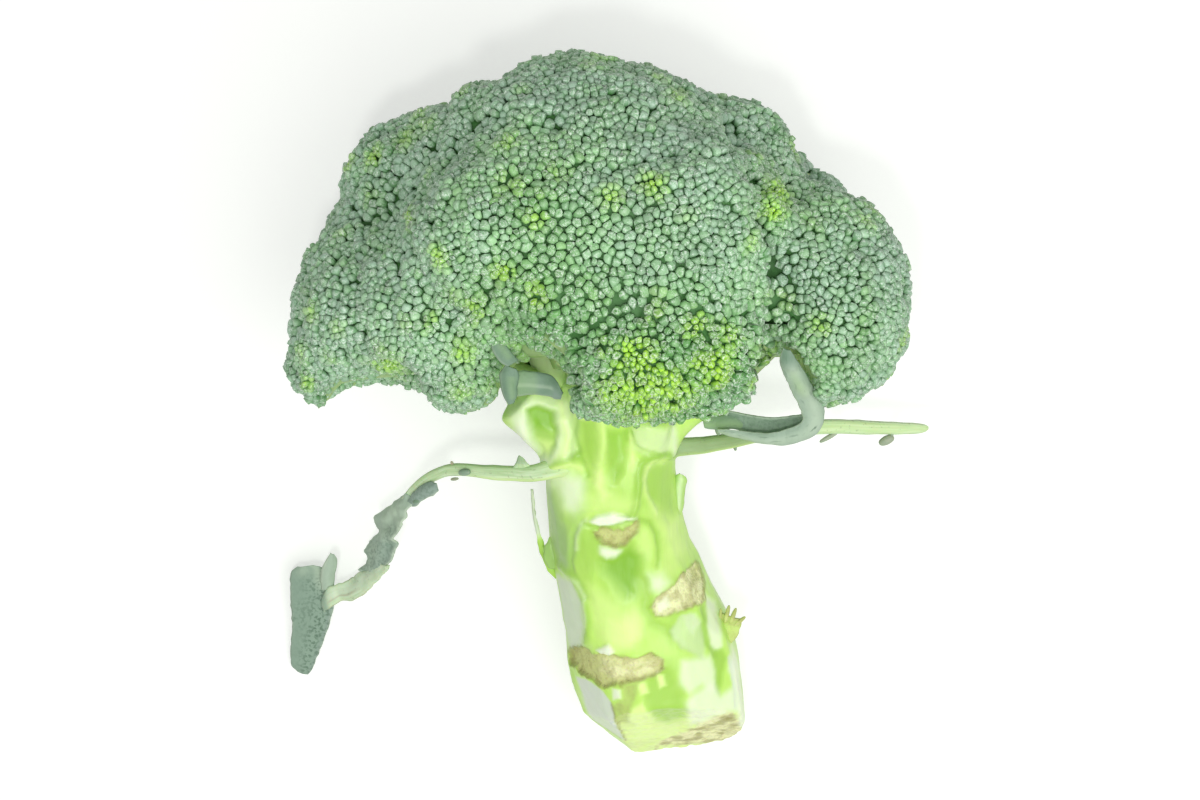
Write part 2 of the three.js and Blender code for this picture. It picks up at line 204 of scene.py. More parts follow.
def add_node(tree: NodeTree, kind: str, settings: dict | None = None, inputs: dict | None = None) -> Node:
    """Adds a node to a tree.

    Args:
        tree: The tree that gets the node.
        kind: The node's type name.
        settings: Properties of the node and their values.
        inputs: Sockets by name or number, each with a value or with the socket that feeds it.

    Returns:
        The new node.
    """
    node = tree.nodes.new(kind)
    for key, value in (settings or {}).items():
        setattr(node, key, value)
    feed(tree, node, inputs or {})
    return node


def new_mesh(name: str, places: Array, faces: list | Array, edges: list = ()) -> Mesh:
    """A smooth-shaded mesh from points, faces and loose edges."""
    mesh = bpy.data.meshes.new(name)
    mesh.from_pydata([tuple(p) for p in places], [tuple(e) for e in edges], [tuple(f) for f in faces])
    mesh.polygons.foreach_set("use_smooth", [True] * len(mesh.polygons))
    return mesh


def write_values(mesh: Mesh, values: dict[str, Array]) -> None:
    """Stores named values on a mesh's points.

    Args:
        mesh: The mesh.
        values: One array for each name, with a row for each point. Whole numbers, single numbers,
            rows of three and rows of four become integers, floats, vectors and quaternions.
    """
    for name, rows in values.items():
        wide = rows.shape[1] if rows.ndim == 2 else 1
        kind = {1: "FLOAT", 3: "FLOAT_VECTOR", 4: "QUATERNION"}[wide]
        kind = "INT" if rows.dtype.kind == "i" else kind
        layer = mesh.attributes.new(name, kind, "POINT")
        layer.data.foreach_set("vector" if wide == 3 else "value", rows.ravel())


def read_places(mesh: Mesh) -> Array:
    """A mesh's points, one a row."""
    flat = np.empty(3 * len(mesh.vertices))
    mesh.vertices.foreach_get("co", flat)
    return flat.reshape(-1, 3)


def read_corners(mesh: Mesh) -> Array:
    """A mesh's triangles, as three point numbers a row."""
    mesh.calc_loop_triangles()
    corners = np.empty(3 * len(mesh.loop_triangles), np.int32)
    mesh.loop_triangles.foreach_get("vertices", corners)
    return corners.reshape(-1, 3)


def place_object(name: str, mesh: Mesh) -> Object:
    """Puts a mesh in the scene under a piece's name, at the origin."""
    piece = bpy.data.objects.new(name, mesh)
    bpy.context.scene.collection.objects.link(piece)
    return piece


def settle(piece: Object) -> Object:
    """Turns a piece and its modifiers into a plain mesh and returns the piece."""
    depsgraph = bpy.context.evaluated_depsgraph_get()
    source = piece.evaluated_get(depsgraph)
    mesh = bpy.data.meshes.new_from_object(source, preserve_all_data_layers=True, depsgraph=depsgraph)
    old = piece.data
    piece.modifiers.clear()
    piece.data = mesh
    bpy.data.meshes.remove(old)
    mesh.name = piece.name
    return piece


def grow(name: str, seedbed: Mesh, tree: NodeTree, inputs: dict) -> Object:
    """Runs a geometry tree over a mesh.

    Args:
        name: The name of the piece that comes out.
        seedbed: The mesh that the tree starts from.
        tree: The geometry tree.
        inputs: Values for the tree's inputs, by name.

    Returns:
        The result as a plain mesh in the scene.
    """
    piece = place_object(name, seedbed)
    modifier = piece.modifiers.new("growth", "NODES")
    modifier.node_group = tree
    for item in tree.interface.items_tree:
        if item.name in inputs:
            modifier[item.identifier] = inputs[item.name]
    return settle(piece)


def relaxed(mesh: Mesh, places: Array, strengths: list[Array | float]) -> Array:
    """Smooths a mesh's points.

    Args:
        mesh: The mesh, for which points are joined by an edge.
        places: Its points.
        strengths: One entry for each round: how far each point goes toward its neighbours' mean.

    Returns:
        The smoothed points.
    """
    edges = np.empty(2 * len(mesh.edges), np.int32)
    mesh.edges.foreach_get("vertices", edges)
    first, second = edges.reshape(-1, 2).T
    degree = np.bincount(edges, minlength=len(places))[:, None]
    for strength in strengths:
        total = np.stack(
            [
                np.bincount(first, places[second, axis], len(places))
                + np.bincount(second, places[first, axis], len(places))
                for axis in range(3)
            ],
            axis=1,
        )
        places = places + strength * (total / degree - places)
    return places


def place_points(mesh: Mesh, places: Array) -> Array:
    """Moves a mesh's points and returns the smooth outward direction at each."""
    mesh.vertices.foreach_set("co", places.ravel())
    mesh.update()
    flat = np.empty(3 * len(mesh.vertices))
    mesh.vertex_normals.foreach_get("vector", flat)
    return flat.reshape(-1, 3)


def fused(name: str, skins: list["Skin"], swell: float, voxel: float) -> Object:
    """Joins closed skins into one.

    Args:
        name: The name of the piece that comes out.
        skins: The skins to join.
        swell: How far each one grows first, so that the gaps between them close.
        voxel: The size of the blocks that they are merged in.

    Returns:
        One closed, evenly meshed piece.
    """
    places, faces, count = [], [], 0
    for skin in skins:
        places.append(skin.places + skin.normals * swell)
        faces.append(skin.faces + count)
        count += len(skin.places)
    piece = place_object(name, new_mesh(name, np.vstack(places), np.vstack(faces)))
    merge = piece.modifiers.new("merge", "REMESH")
    merge.mode = "VOXEL"
    merge.voxel_size = voxel
    merge.use_smooth_shade = True
    return settle(piece)


def hand_over(piece: Object, nodes: list[str], material: Material | None = None) -> None:
    """Gives a finished piece to the frame.

    Args:
        piece: The piece.
        nodes: The CAD nodes that it stands for.
        material: Its material, unless it has one already.
    """
    if material is not None:
        piece.data.materials.clear()
        piece.data.materials.append(material)
    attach(piece, BODY)
    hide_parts(*nodes)
    piece.data.calc_loop_triangles()
    LOG.info("%s: %d triangles", piece.name, len(piece.data.loop_triangles))


@dataclass
class Skin:
    """A merged copy of one or more CAD nodes' skins, for measuring and for sampling.

    Attributes:
        places: The corners.
        faces: Three corners a row.
        normals: The outward direction at each corner.
    """

    places: Array
    faces: Array
    normals: Array = field(init=False)
    tree: BVHTree = field(init=False)

    def __post_init__(self) -> None:
        """Works out the normals and the search tree."""
        a, b, c = (self.places[self.faces[:, i]] for i in range(3))
        square = np.cross(b - a, c - a)
        total = np.zeros_like(self.places)
        for i in range(3):
            np.add.at(total, self.faces[:, i], square)
        self.normals = unit(total)
        self.tree = BVHTree.FromPolygons(self.places.tolist(), self.faces.tolist())

    @classmethod
    def of(cls, *names: str) -> "Skin":
        """The merged skin of the named CAD nodes."""
        places, faces, count = [], [], 0
        for name in names:
            mesh = frame["nodes"][name].data
            merged, where = np.unique(np.round(read_places(mesh), 7), axis=0, return_inverse=True)
            triangles = where.ravel()[read_corners(mesh)]
            whole = (triangles[:, 0] != triangles[:, 1]) & (triangles[:, 1] != triangles[:, 2])
            whole &= triangles[:, 0] != triangles[:, 2]
            places.append(merged)
            faces.append(triangles[whole] + count)
            count += len(merged)
        return cls(np.vstack(places), np.vstack(faces))

    @classmethod
    def of_mesh(cls, mesh: Mesh) -> "Skin":
        """The skin of a merged mesh."""
        return cls(read_places(mesh), read_corners(mesh))

    def snap(self, places: Array) -> tuple[Array, Array]:
        """The nearest points on the skin, with the smooth outward direction at each."""
        hits = [self.tree.find_nearest(p) for p in places.tolist()]
        landed = np.array([hit[0] for hit in hits])
        index = self.faces[[hit[2] for hit in hits]]
        a, b, c = (self.places[index[:, i]] for i in range(3))
        whole = np.linalg.norm(np.cross(b - a, c - a), axis=1) + 1e-18
        shares = np.stack(
            [
                np.linalg.norm(np.cross(b - landed, c - landed), axis=1),
                np.linalg.norm(np.cross(c - landed, a - landed), axis=1),
                np.linalg.norm(np.cross(a - landed, b - landed), axis=1)
            ],
            axis=1
        )
        shares /= whole[:, None]
        return landed, unit(np.einsum("ij,ijk->ik", shares, self.normals[index]))

    def sow(self, rng: np.random.Generator, pitch: float, crowding: float = 9) -> tuple[Array, Array]:
        """Random points on the skin, many to each square of the pitch, with their normals."""
        a, b, c = (self.places[self.faces[:, i]] for i in range(3))
        area = np.linalg.norm(np.cross(b - a, c - a), axis=1) / 2
        count = int(crowding * area.sum() / pitch**2)
        pick = rng.choice(len(area), count, p=area / area.sum())
        u, v = rng.random((2, count))
        flip = u + v > 1
        u, v = np.where(flip, 1 - u, u), np.where(flip, 1 - v, v)
        shares = np.stack([1 - u - v, u, v], axis=1)
        index = self.faces[pick]
        places = np.einsum("ij,ijk->ik", shares, self.places[index])
        return places, unit(np.einsum("ij,ijk->ik", shares, self.normals[index]))


def thinned(places: Array, pitches: Array) -> Array:
    """The indices of points that are left when none is closer to another than its own pitch."""
    alive = np.ones(len(places), bool)
    kept = []
    for index in range(len(places)):
        if alive[index]:
            kept.append(index)
            gap = np.sum((places - places[index]) ** 2, axis=1)
            alive &= gap > pitches[index] ** 2
    return np.array(kept, int)


def search_tree(places: Array) -> kdtree.KDTree:
    """A tree that finds the points nearest to any place."""
    tree = kdtree.KDTree(len(places))
    for index, place in enumerate(places.tolist()):
        tree.insert(place, index)
    tree.balance()
    return tree


def neighbours(places: Array, count: int) -> tuple[Array, Array]:
    """The indices of each point's nearest neighbours, and how far away they are."""
    tree = search_tree(places)
    found = [tree.find_n(place, count + 1)[1:] for place in places.tolist()]
    near = np.array([[hit[1] for hit in hits] for hits in found])
    return near, np.array([[hit[2] for hit in hits] for hits in found])


# ---------------------------------------------------------------- finishes


@dataclass(frozen=True)
class Finish:
    """A plant tissue: its name and what all of them share."""

    name: str

    def material(self) -> Material:
        """Makes the material: a plain shader whose look each kind of tissue paints."""
        material = bpy.data.materials.new(self.name)
        material.use_nodes = True
        tree = material.node_tree
        self.paint(tree, tree.nodes["Principled BSDF"])
        return material

    def paint(self, tree: NodeTree, shader: Node) -> None:
        """Adds this tissue's nodes; each kind of tissue has its own."""
        raise NotImplementedError

    @staticmethod
    def wash(
        tree: NodeTree,
        below: NodeSocket | tuple,
        colour: str,
        source: NodeSocket,
        bounds: tuple[float, ...] = (0.0, 1.0, 0.0, 1.0),
        mask: NodeSocket | float = 1.0,
    ) -> NodeSocket:
        """Lays a colour over what is below it, as strongly as a value says.

        Args:
            tree: The material's tree.
            below: What is below: the socket of a colour, or a plain one.
            colour: The sRGB hex value that is laid over it.
            source: The socket of the value.
            bounds: Two values, then how much of the colour shows at each of them.
            mask: The share of that which really shows.

        Returns:
            The socket of the mixed colour.
        """
        share = add_node(
            tree, "ShaderNodeMapRange", None, dict(zip(RAMP, (source, *bounds)))
        ).outputs["Result"]
        share = add_node(
            tree, "ShaderNodeMath", {"operation": "MULTIPLY"}, {0: share, 1: mask}
        ).outputs[0]
        layer = {0: share, FIRST: below, SECOND: linear(colour)}
        return add_node(tree, "ShaderNodeMix", COLOUR_MIX, layer).outputs[MIXED]


@dataclass(frozen=True)
class BudSkin(Finish):
    """Closed flower buds: waxy sepals, grey-green when older and yellow-green when young.

    The pale flecks on the tips are partly the wax's whitening and partly painted glints. Fine pale lines
    and pale rims on opening buds are painted highlights; the dark lines along the sepals' seams, the
    flanks and the gaps between buds are painted shade in deep green.
    """

    old: str = "#B3D2BB"
    fresh: str = "#A4D68F"
    lush: str = "#6CAA5B"
    young: str = "#BDF23F"
    # painted shade: the deep green of the flanks, of the slits between buds and of the seams
    deep: str = "#57934F"
    # painted highlights: the pale of the glints and rims; on the tips also the wax's own whitening
    bloom: str = "#EEF8EC"
    stored: tuple[str, ...] = (
        "fresh", "loose", "youth", "tone", "tipness", "pressed", "seam", "rim", "sepal_x", "sepal_y"
    )

    def paint(self, tree: NodeTree, shader: Node) -> None:
        """Mixes sepal colours by age, then paints shade in gaps and seams and highlights on the tips."""
        where = add_node(tree, "ShaderNodeTexCoord").outputs["Object"]
        blotch, fold, chance = (
            add_node(
                tree, "ShaderNodeTexNoise", None, {"Vector": where, "Scale": 1 / size, "Detail": detail}
            ).outputs["Fac"]
            for size, detail in ((0.55 * MM, 2.0), (0.9 * MM, 1.0), (2.4 * MM, 1.0))
        )
        bud = {
            name: add_node(tree, "ShaderNodeAttribute", {"attribute_name": name}).outputs["Fac"]
            for name in self.stored
        }
        bright, tip, dense, polish = (
            add_node(tree, "ShaderNodeMapRange", None, dict(zip(RAMP, ramp))).outputs["Result"]
            for ramp in (
                (bud["tone"], 0.0, 1.0, 0.72, 1.2),
                (bud["tipness"], 0.35, 0.8, 0.0, 1.0),
                (chance, 0.4, 0.55, 0.25, 1.0),
                (bud["loose"], 0.0, 1.0, 0.42, 0.24),
            )
        )
        tissue = self.wash(tree, linear(self.old), self.fresh, bud["fresh"])
        tissue = self.wash(tree, tissue, self.lush, bud["loose"])
        tissue = self.wash(tree, tissue, self.young, bud["youth"], (0.12, 0.85, 0.0, 1.0))
        tissue = add_node(
            tree, "ShaderNodeHueSaturation", None, {"Color": tissue, "Value": bright}
        ).outputs[0]
        # painted shade: deep green on the flanks, at the slits between buds and in the sepals' seams
        for name, bounds in (
            ("tipness", (0.35, 0.8, 1.0, 0.0)),
            ("pressed", (0.5, 1.0, 0.0, 0.4)),
            ("seam", (0.0, 1.0, 0.0, 0.25)),
        ):
            tissue = self.wash(tree, tissue, self.deep, bud[name], bounds)
        seen = add_node(tree, "ShaderNodeMath", {"operation": "MULTIPLY"}, {0: tip, 1: dense}).outputs[0]
        # painted highlights: thin pale glint lines on the tips
        off = add_node(tree, "ShaderNodeMath", {"operation": "SUBTRACT"}, {0: fold, 1: 0.5}).outputs[0]
        ridge = add_node(tree, "ShaderNodeMath", {"operation": "ABSOLUTE"}, {0: off}).outputs[0]
        tissue = self.wash(tree, tissue, self.bloom, ridge, (0.012, 0.05, 0.6, 0.0), seen)
        # painted shade: thin dark lines along the sepals' seams near the tip
        bend = add_node(
            tree, "ShaderNodeMath", {"operation": "MULTIPLY_ADD"}, {0: blotch, 1: 0.5, 2: -0.25}
        )
        sides = []
        for name in ("sepal_x", "sepal_y"):
            bent = add_node(
                tree, "ShaderNodeMath", {"operation": "ADD"}, {0: bud[name], 1: bend.outputs[0]}
            )
            sides.append(
                add_node(tree, "ShaderNodeMath", {"operation": "ABSOLUTE"}, {0: bent.outputs[0]})
            )
        near = add_node(
            tree, "ShaderNodeMath", {"operation": "MINIMUM"},
            {0: sides[0].outputs[0], 1: sides[1].outputs[0]}
        ).outputs[0]
        tissue = self.wash(tree, tissue, self.deep, near, (0.02, 0.08, 0.55, 0.0), seen)
        # painted highlight: a pale rim round the top of each opening bud
        rim_glint = add_node(
            tree, "ShaderNodeMapRange", None, dict(zip(RAMP, (bud["rim"], 0.5, 1.0, 0.0, 0.6)))
        ).outputs["Result"]
        tissue = self.wash(tree, tissue, self.bloom, blotch, (0.4, 0.6, 0.0, 1.0), rim_glint)
        # pale flecks on the tips: partly the wax's own whitening, partly painted glints
        tissue = self.wash(tree, tissue, self.bloom, blotch, (0.58, 0.68, 0.0, 0.7), seen)
        rise = add_node(
            tree, "ShaderNodeBump", None, {"Strength": 0.5, "Distance": 0.22 * MM, "Height": blotch}
        )
        look = {"Base Color": tissue, "Normal": rise.outputs["Normal"], "Roughness": polish}
        feed(tree, shader, look | {"IOR": 1.42, "Coat Weight": 0.2, "Coat Roughness": 0.12})


@dataclass(frozen=True)
class BedSkin(Finish):
    """A floret's inside: painted shade in deep green between the buds, pale stem tissue on the underside."""

    # painted shade in the gaps between the buds
    deep: str = "#4A8141"
    green: str = "#8FB56A"
    pale: str = "#BFD996"

    def paint(self, tree: NodeTree, shader: Node) -> None:
        """Goes from the deep green of the painted shade under the buds to the pale green of the underside.
        """
        where = add_node(tree, "ShaderNodeTexCoord").outputs["Object"]
        mottle = add_node(
            tree, "ShaderNodeTexNoise", None, {"Vector": where, "Scale": 1 / (3 * MM), "Detail": 4.0}
        ).outputs["Fac"]
        tissue = self.wash(tree, linear(self.green), self.pale, mottle)
        under = add_node(tree, "ShaderNodeAttribute", {"attribute_name": "under"}).outputs["Fac"]
        # painted shade: deep green wherever the bed lies under the buds
        tissue = self.wash(tree, tissue, self.deep, under, (0.0, 1.0, 1.0, 0.0))
        rise = add_node(
            tree, "ShaderNodeBump", None, {"Strength": 0.6, "Distance": 0.6 * MM, "Height": mottle}
        )
        feed(tree, shader, {"Base Color": tissue, "Normal": rise.outputs["Normal"], "Roughness": 0.6})


@dataclass(frozen=True)
class StemSkin(Finish):
    """The small branches under a head: smooth, pale green, with a faint grain along them."""

    pale: str = "#CFE5A6"
    green: str = "#A3C97B"

    def paint(self, tree: NodeTree, shader: Node) -> None:
        """Lets the pale green run greener in soft patches."""
        where = add_node(tree, "ShaderNodeTexCoord").outputs["Object"]
        patch, grain = (
            add_node(
                tree, "ShaderNodeTexNoise", None, {"Vector": where, "Scale": 1 / size, "Detail": detail}
            ).outputs["Fac"]
            for size, detail in ((5 * MM, 3.0), (0.8 * MM, 2.0))
        )
        tissue = self.wash(tree, linear(self.green), self.pale, patch, (0.35, 0.65, 0.0, 1.0))
        rise = add_node(
            tree, "ShaderNodeBump", None, {"Strength": 0.3, "Distance": 0.2 * MM, "Height": grain}
        )
        look = {"Base Color": tissue, "Normal": rise.outputs["Normal"], "Roughness": 0.42}
        feed(tree, shader, look | {"Subsurface Weight": 0.15, "Subsurface Scale": 1.5 * MM})


@dataclass(frozen=True)
class StalkSkin(Finish):
    """The stalk: wet-looking, translucent yellow-green flesh under a thin skin, cut in places.

    Translucency gives the light, even glow; the thin skin gives small bright highlights. Besides the
    flesh's own colours, the washes paint highlights on ridges and ledges, shade in grooves, hollows and
    on the left flank, and a pale sheen on the sides. The cuts and leaf scars are dry, beige and pitted.
    """

    flesh: str = "#C4EF70"
    light: str = "#CFF08A"
    streaks: str = "#A5D458"
    dry: str = "#A9A566"
    # besides the stalk's own colours: yellow and pale also paint highlights; deep, green and sage also paint
    # shade; the grey-white layer also paints a sheen on the sides
    layers: tuple[tuple[str, str], ...] = (
        ("deep", "#86BD33"), ("green", "#A3D153"), ("sage", "#A3C67F"), ("yellow", "#E4FE9E"),
        ("pale", "#F0FBDC"), ("frost", "#D6E2CC"), ("cut", "#F1F3BC"), ("scar", "#CED38C"),
        ("rim", "#8E8B4B")
    )

    def paint(self, tree: NodeTree, shader: Node) -> None:
        """Lays one wash over another by the weights stored on the stalk's points."""
        where = add_node(tree, "ShaderNodeTexCoord").outputs["Object"]
        drawn = {"Vector": where, "Rotation": (0.36, 0.0, 0.2), "Scale": (1.0, 0.16, 1.0)}
        along = add_node(tree, "ShaderNodeMapping", None, drawn).outputs["Vector"]
        streak, cloud, pits, crust = (
            add_node(
                tree, "ShaderNodeTexNoise", None, {"Vector": at, "Scale": 1 / (size * MM), "Detail": detail}
            ).outputs["Fac"]
            for at, size, detail in (
                (along, 2.2, 3.0), (where, 9, 3.0), (where, 1.1, 5.0), (where, 3.4, 4.0),
            )
        )
        painted = {
            name: add_node(tree, "ShaderNodeAttribute", {"attribute_name": name}).outputs["Fac"]
            for name in dict(self.layers)
        }
        tissue = self.wash(tree, linear(self.flesh), self.light, cloud, (0.4, 0.7, 0.0, 0.5))
        tissue = self.wash(tree, tissue, self.streaks, streak, (0.5, 0.75, 0.0, 0.35))
        # the washes hold painted highlights and painted shade as well as the flesh's own colours
        for name, colour in self.layers:
            tissue = self.wash(tree, tissue, colour, painted[name])
        dry = add_node(
            tree, "ShaderNodeMath", {"operation": "MAXIMUM"}, {0: painted["scar"], 1: painted["cut"]}
        ).outputs[0]
        for pattern, low, high in ((pits, 0.52, 0.72), (crust, 0.5, 0.62)):
            tissue = self.wash(tree, tissue, self.dry, pattern, (low, high, 0.0, 0.45), dry)
        fine = add_node(
            tree, "ShaderNodeBump", None, {"Strength": 0.25, "Distance": 0.5 * MM, "Height": streak}
        )
        rough = add_node(tree, "ShaderNodeMapRange", None, {"Value": dry, "To Min": 0.33, "To Max": 0.85})
        broken = add_node(tree, "ShaderNodeMath", {"operation": "MULTIPLY"}, {0: pits, 1: dry}).outputs[0]
        coarse = {
            "Strength": 0.7, "Distance": 0.8 * MM, "Height": broken, "Normal": fine.outputs["Normal"]
        }
        look = {
            "Base Color": tissue, "Roughness": rough.outputs["Result"],
            "Normal": add_node(tree, "ShaderNodeBump", None, coarse).outputs["Normal"],
            "Subsurface Weight": 0.2, "Subsurface Radius": (0.7, 1.0, 0.3), "Subsurface Scale": 1.6 * MM,
            "IOR": 1.4
        }
        feed(tree, shader, look)


@dataclass(frozen=True)
class LeafStalkSkin(Finish):
    """A leaf's stalk: smooth, pale green, streaked lengthwise, limy along the edge that was torn."""

    green: str = "#BAD6A1"
    pale: str = "#D8ECC5"
    blemish: str = "#7F9468"
    layers: tuple[tuple[str, str], ...] = (
        ("olive", "#8FAB70"), ("lush", "#AED08F"), ("bright", "#CDEB88"), ("cream", "#C6D8BB"),
        ("grey", "#92AB93"), ("brown", "#A3967C"), ("dark", "#6F8A70")
    )

    def paint(self, tree: NodeTree, shader: Node) -> None:
        """Streaks the stalk, then lays one wash over another by the weights on its points."""
        where = add_node(tree, "ShaderNodeTexCoord").outputs["Object"]
        skin = {
            name: add_node(tree, "ShaderNodeAttribute", {"attribute_name": name}).outputs["Fac"]
            for name in ("reach", "run", *dict(self.layers))
        }
        drawn = add_node(
            tree, "ShaderNodeCombineXYZ", None, {"X": skin["reach"], "Y": skin["run"]}
        ).outputs[0]
        drawn = add_node(
            tree, "ShaderNodeMapping", None, {"Vector": drawn, "Scale": (1.0, 0.06, 1.0)}
        ).outputs[0]
        streak, speck = (
            add_node(
                tree, "ShaderNodeTexNoise", None, {"Vector": at, "Scale": 1 / (size * MM), "Detail": detail}
            ).outputs["Fac"]
            for at, size, detail in ((drawn, 0.5, 3.0), (where, 0.9, 2.0))
        )
        tissue = self.wash(tree, linear(self.green), self.pale, streak, (0.35, 0.65, 0.0, 1.0))
        for name, colour in self.layers:
            tissue = self.wash(tree, tissue, colour, skin[name])
        tissue = self.wash(tree, tissue, self.blemish, speck, (0.64, 0.7, 0.0, 0.35))
        rise = add_node(
            tree, "ShaderNodeBump", None, {"Strength": 0.35, "Distance": 0.3 * MM, "Height": streak}
        )
        look = {"Base Color": tissue, "Normal": rise.outputs["Normal"], "Roughness": 0.42}
        feed(tree, shader, look | {"Subsurface Weight": 0.1, "Subsurface Scale": 1.5 * MM})


@dataclass(frozen=True)
class LeafBladeSkin(Finish):
    """A leaf's blade: waxy, matt grey-green, mottled where it was rubbed, with fine veins.

    The wax scatters the light, so that the blade looks chalky beside the wet stalk.
    """

    wax: str = "#98AF9D"
    green: str = "#55705C"
    layers: tuple[tuple[str, str], ...] = (
        ("shade", "#6A896F"), ("bluish", "#8A9D92"), ("pale", "#BACDB3"), ("lime", "#9CC07A"),
        ("edge", "#C9D8C0")
    )

    def paint(self, tree: NodeTree, shader: Node) -> None:
        """Washes the wax, then mottles it and draws the veins along the blade's own length."""
        where = add_node(tree, "ShaderNodeTexCoord").outputs["Object"]
        skin = {
            name: add_node(tree, "ShaderNodeAttribute", {"attribute_name": name}).outputs["Fac"]
            for name in ("reach", "run", "mottle", "vein", *dict(self.layers))
        }
        drawn = add_node(
            tree, "ShaderNodeCombineXYZ", None, {"X": skin["reach"], "Y": skin["run"]}
        ).outputs[0]
        drawn = add_node(
            tree, "ShaderNodeMapping", None, {"Vector": drawn, "Scale": (1.0, 0.14, 1.0)}
        ).outputs[0]
        mottle, veins = (
            add_node(
                tree, "ShaderNodeTexNoise", None, {"Vector": at, "Scale": 1 / (size * MM), "Detail": detail}
            ).outputs["Fac"]
            for at, size, detail in ((where, 0.9, 4.0), (drawn, 0.7, 3.0))
        )
        tissue = linear(self.wax)
        for name, colour in self.layers:
            tissue = self.wash(tree, tissue, colour, skin[name])
        for pattern, low, high, weight in ((mottle, 0.47, 0.6, "mottle"), (veins, 0.58, 0.66, "vein")):
            tissue = self.wash(tree, tissue, self.green, pattern, (low, high, 0.0, 1.0), skin[weight])
        rise = add_node(
            tree, "ShaderNodeBump", None, {"Strength": 0.5, "Distance": 0.4 * MM, "Height": mottle}
        )
        look = {"Base Color": tissue, "Normal": rise.outputs["Normal"], "Roughness": 0.6, "IOR": 1.4}
        feed(tree, shader, look)


@dataclass(frozen=True)
class ShelfBoard(Finish):
    """The white board that the head lies on: matt, with a soft shadow."""

    board: str = "#F4F5F1"
    shown: str = "#D5D7D2"
    glow: float = 0.46

    def paint(self, tree: NodeTree, shader: Node) -> None:
        """Shows the camera a whiter board than the one that lights the head from below."""
        feed(
            tree, shader, {"Base Color": linear(self.board), "Roughness": 0.9, "Specular IOR Level": 0.1}
        )
        seen = add_node(tree, "ShaderNodeBsdfDiffuse", None, {"Color": linear(self.shown)})
        glow = add_node(tree, "ShaderNodeEmission", None, {"Color": linear(WHITE), "Strength": self.glow})
        both = add_node(tree, "ShaderNodeAddShader", None, {0: seen.outputs[0], 1: glow.outputs[0]})
        eye = add_node(tree, "ShaderNodeLightPath").outputs["Is Camera Ray"]
        mix = add_node(
            tree, "ShaderNodeMixShader", None, {0: eye, 1: shader.outputs["BSDF"], 2: both.outputs[0]}
        )
        tree.links.new(mix.outputs[0], tree.nodes["Material Output"].inputs["Surface"])


# ---------------------------------------------------------------- buds


class BudKind(IntEnum):
    """What a bud looks like; the numbers are the order of the bud shapes."""

    CLOSED = 0
    YOUNG = 1
    OPENING = 2


@dataclass(frozen=True)
class BudShape:
    """One bud, one unit wide and with its tip at the origin, growing along +Z.

    Attributes:
        kind: Which kind of bud it is.
        foot: How far below the tip its foot is, where it narrows to a point.
        profile: Heights below the tip, with the half width at each, from the foot up.
        tip: The height of the middle of the tip, where the sepals meet.
        lobing: How far the four sepals bulge.
    """

    kind: BudKind
    foot: float
    profile: tuple[tuple[float, float], ...]
    tip: float
    lobing: float
    sides: int = 8

    def mesh(self) -> Mesh:
        """Makes the bud, with how near the tip each point is and where the sepals' seams run."""
        angles = 2 * math.pi * np.arange(self.sides) / self.sides
        lobes = np.cos(4 * angles)
        wave = 1 + self.lobing * lobes
        rings = [np.stack([r * wave * np.cos(angles), r * wave * np.sin(angles)]) for _, r in self.profile]
        places = [(x, y, h) for (h, _), ring in zip(self.profile, rings) for x, y in ring.T]
        places += [(0, 0, self.foot), (0, 0, self.tip)]
        faces = []
        for ring, side in itertools.product(range(len(rings) - 1), range(self.sides)):
            low, after = ring * self.sides, (side + 1) % self.sides
            high = low + self.sides
            faces.append((low + side, low + after, high + after, high + side))
        last = (len(rings) - 1) * self.sides
        for side in range(self.sides):
            after = (side + 1) % self.sides
            faces.append((after, side, len(places) - 2))
            faces.append((last + side, last + after, len(places) - 1))
        mesh = new_mesh(f"bud_{self.kind.value}", np.array(places), faces)
        heights = np.array(places)[:, 2]
        # where the bud skin paints shade along the sepals' seams
        seams = np.append(np.tile((lobes < 0) * 1.0, len(rings)), [0.0, 0.6])
        # the top ring of an opening bud, where the bud skin paints a pale rim as a highlight
        rim = (np.arange(len(places)) // self.sides == len(rings) - 1) * (self.kind is BudKind.OPENING)
        values = {"tipness": 1 + heights / abs(self.foot), "seam": seams * (heights > -0.5)}
        values |= {"sepal_x": np.array(places)[:, 0], "sepal_y": np.array(places)[:, 1], "rim": rim}
        write_values(mesh, {k: v.astype(float) for k, v in values.items()})
        return mesh


BUD_SHAPES = (
    BudShape(BudKind.CLOSED, -1.1, ((-0.56, 0.46), (-0.24, 0.5), (-0.05, 0.34)), -0.02, 0.05),
    BudShape(BudKind.YOUNG, -1.1, ((-0.6, 0.44), (-0.28, 0.46), (-0.08, 0.24)), 0.0, 0.06),
    BudShape(
        BudKind.OPENING, -1.5, ((-0.95, 0.2), (-0.6, 0.44), (-0.24, 0.44), (-0.03, 0.26)), -0.28, 0.14
    )
)


def new_growth(name: str, inputs: dict[str, str]) -> tuple[NodeTree, Node]:
    """Starts a geometry tree that grows something and dresses it in a skin.

    Args:
        name: The tree's name.
        inputs: The kind of socket of each input that it has beside its geometry and its skin.

    Returns:
        The tree, and the node that all its inputs come out of.
    """
    tree = bpy.data.node_groups.new(name, "GeometryNodeTree")
    for label, kind in {"Geometry": "Geometry", **inputs, "Skin": "Material"}.items():
        tree.interface.new_socket(label, in_out="INPUT", socket_type=f"NodeSocket{kind}")
    tree.interface.new_socket("Geometry", in_out="OUTPUT", socket_type="NodeSocketGeometry")
    return tree, add_node(tree, "NodeGroupInput")


def end_growth(tree: NodeTree, given: Node, grown: NodeSocket) -> None:
    """Ends a geometry tree: what has grown becomes plain geometry in the given skin."""
    real = add_node(tree, "GeometryNodeRealizeInstances", None, {"Geometry": grown})
    dressed = {"Geometry": real.outputs["Geometry"], "Material": given.outputs["Skin"]}
    done = add_node(tree, "GeometryNodeSetMaterial", None, dressed)
    add_node(tree, "NodeGroupOutput", None, {"Geometry": done.outputs["Geometry"]})


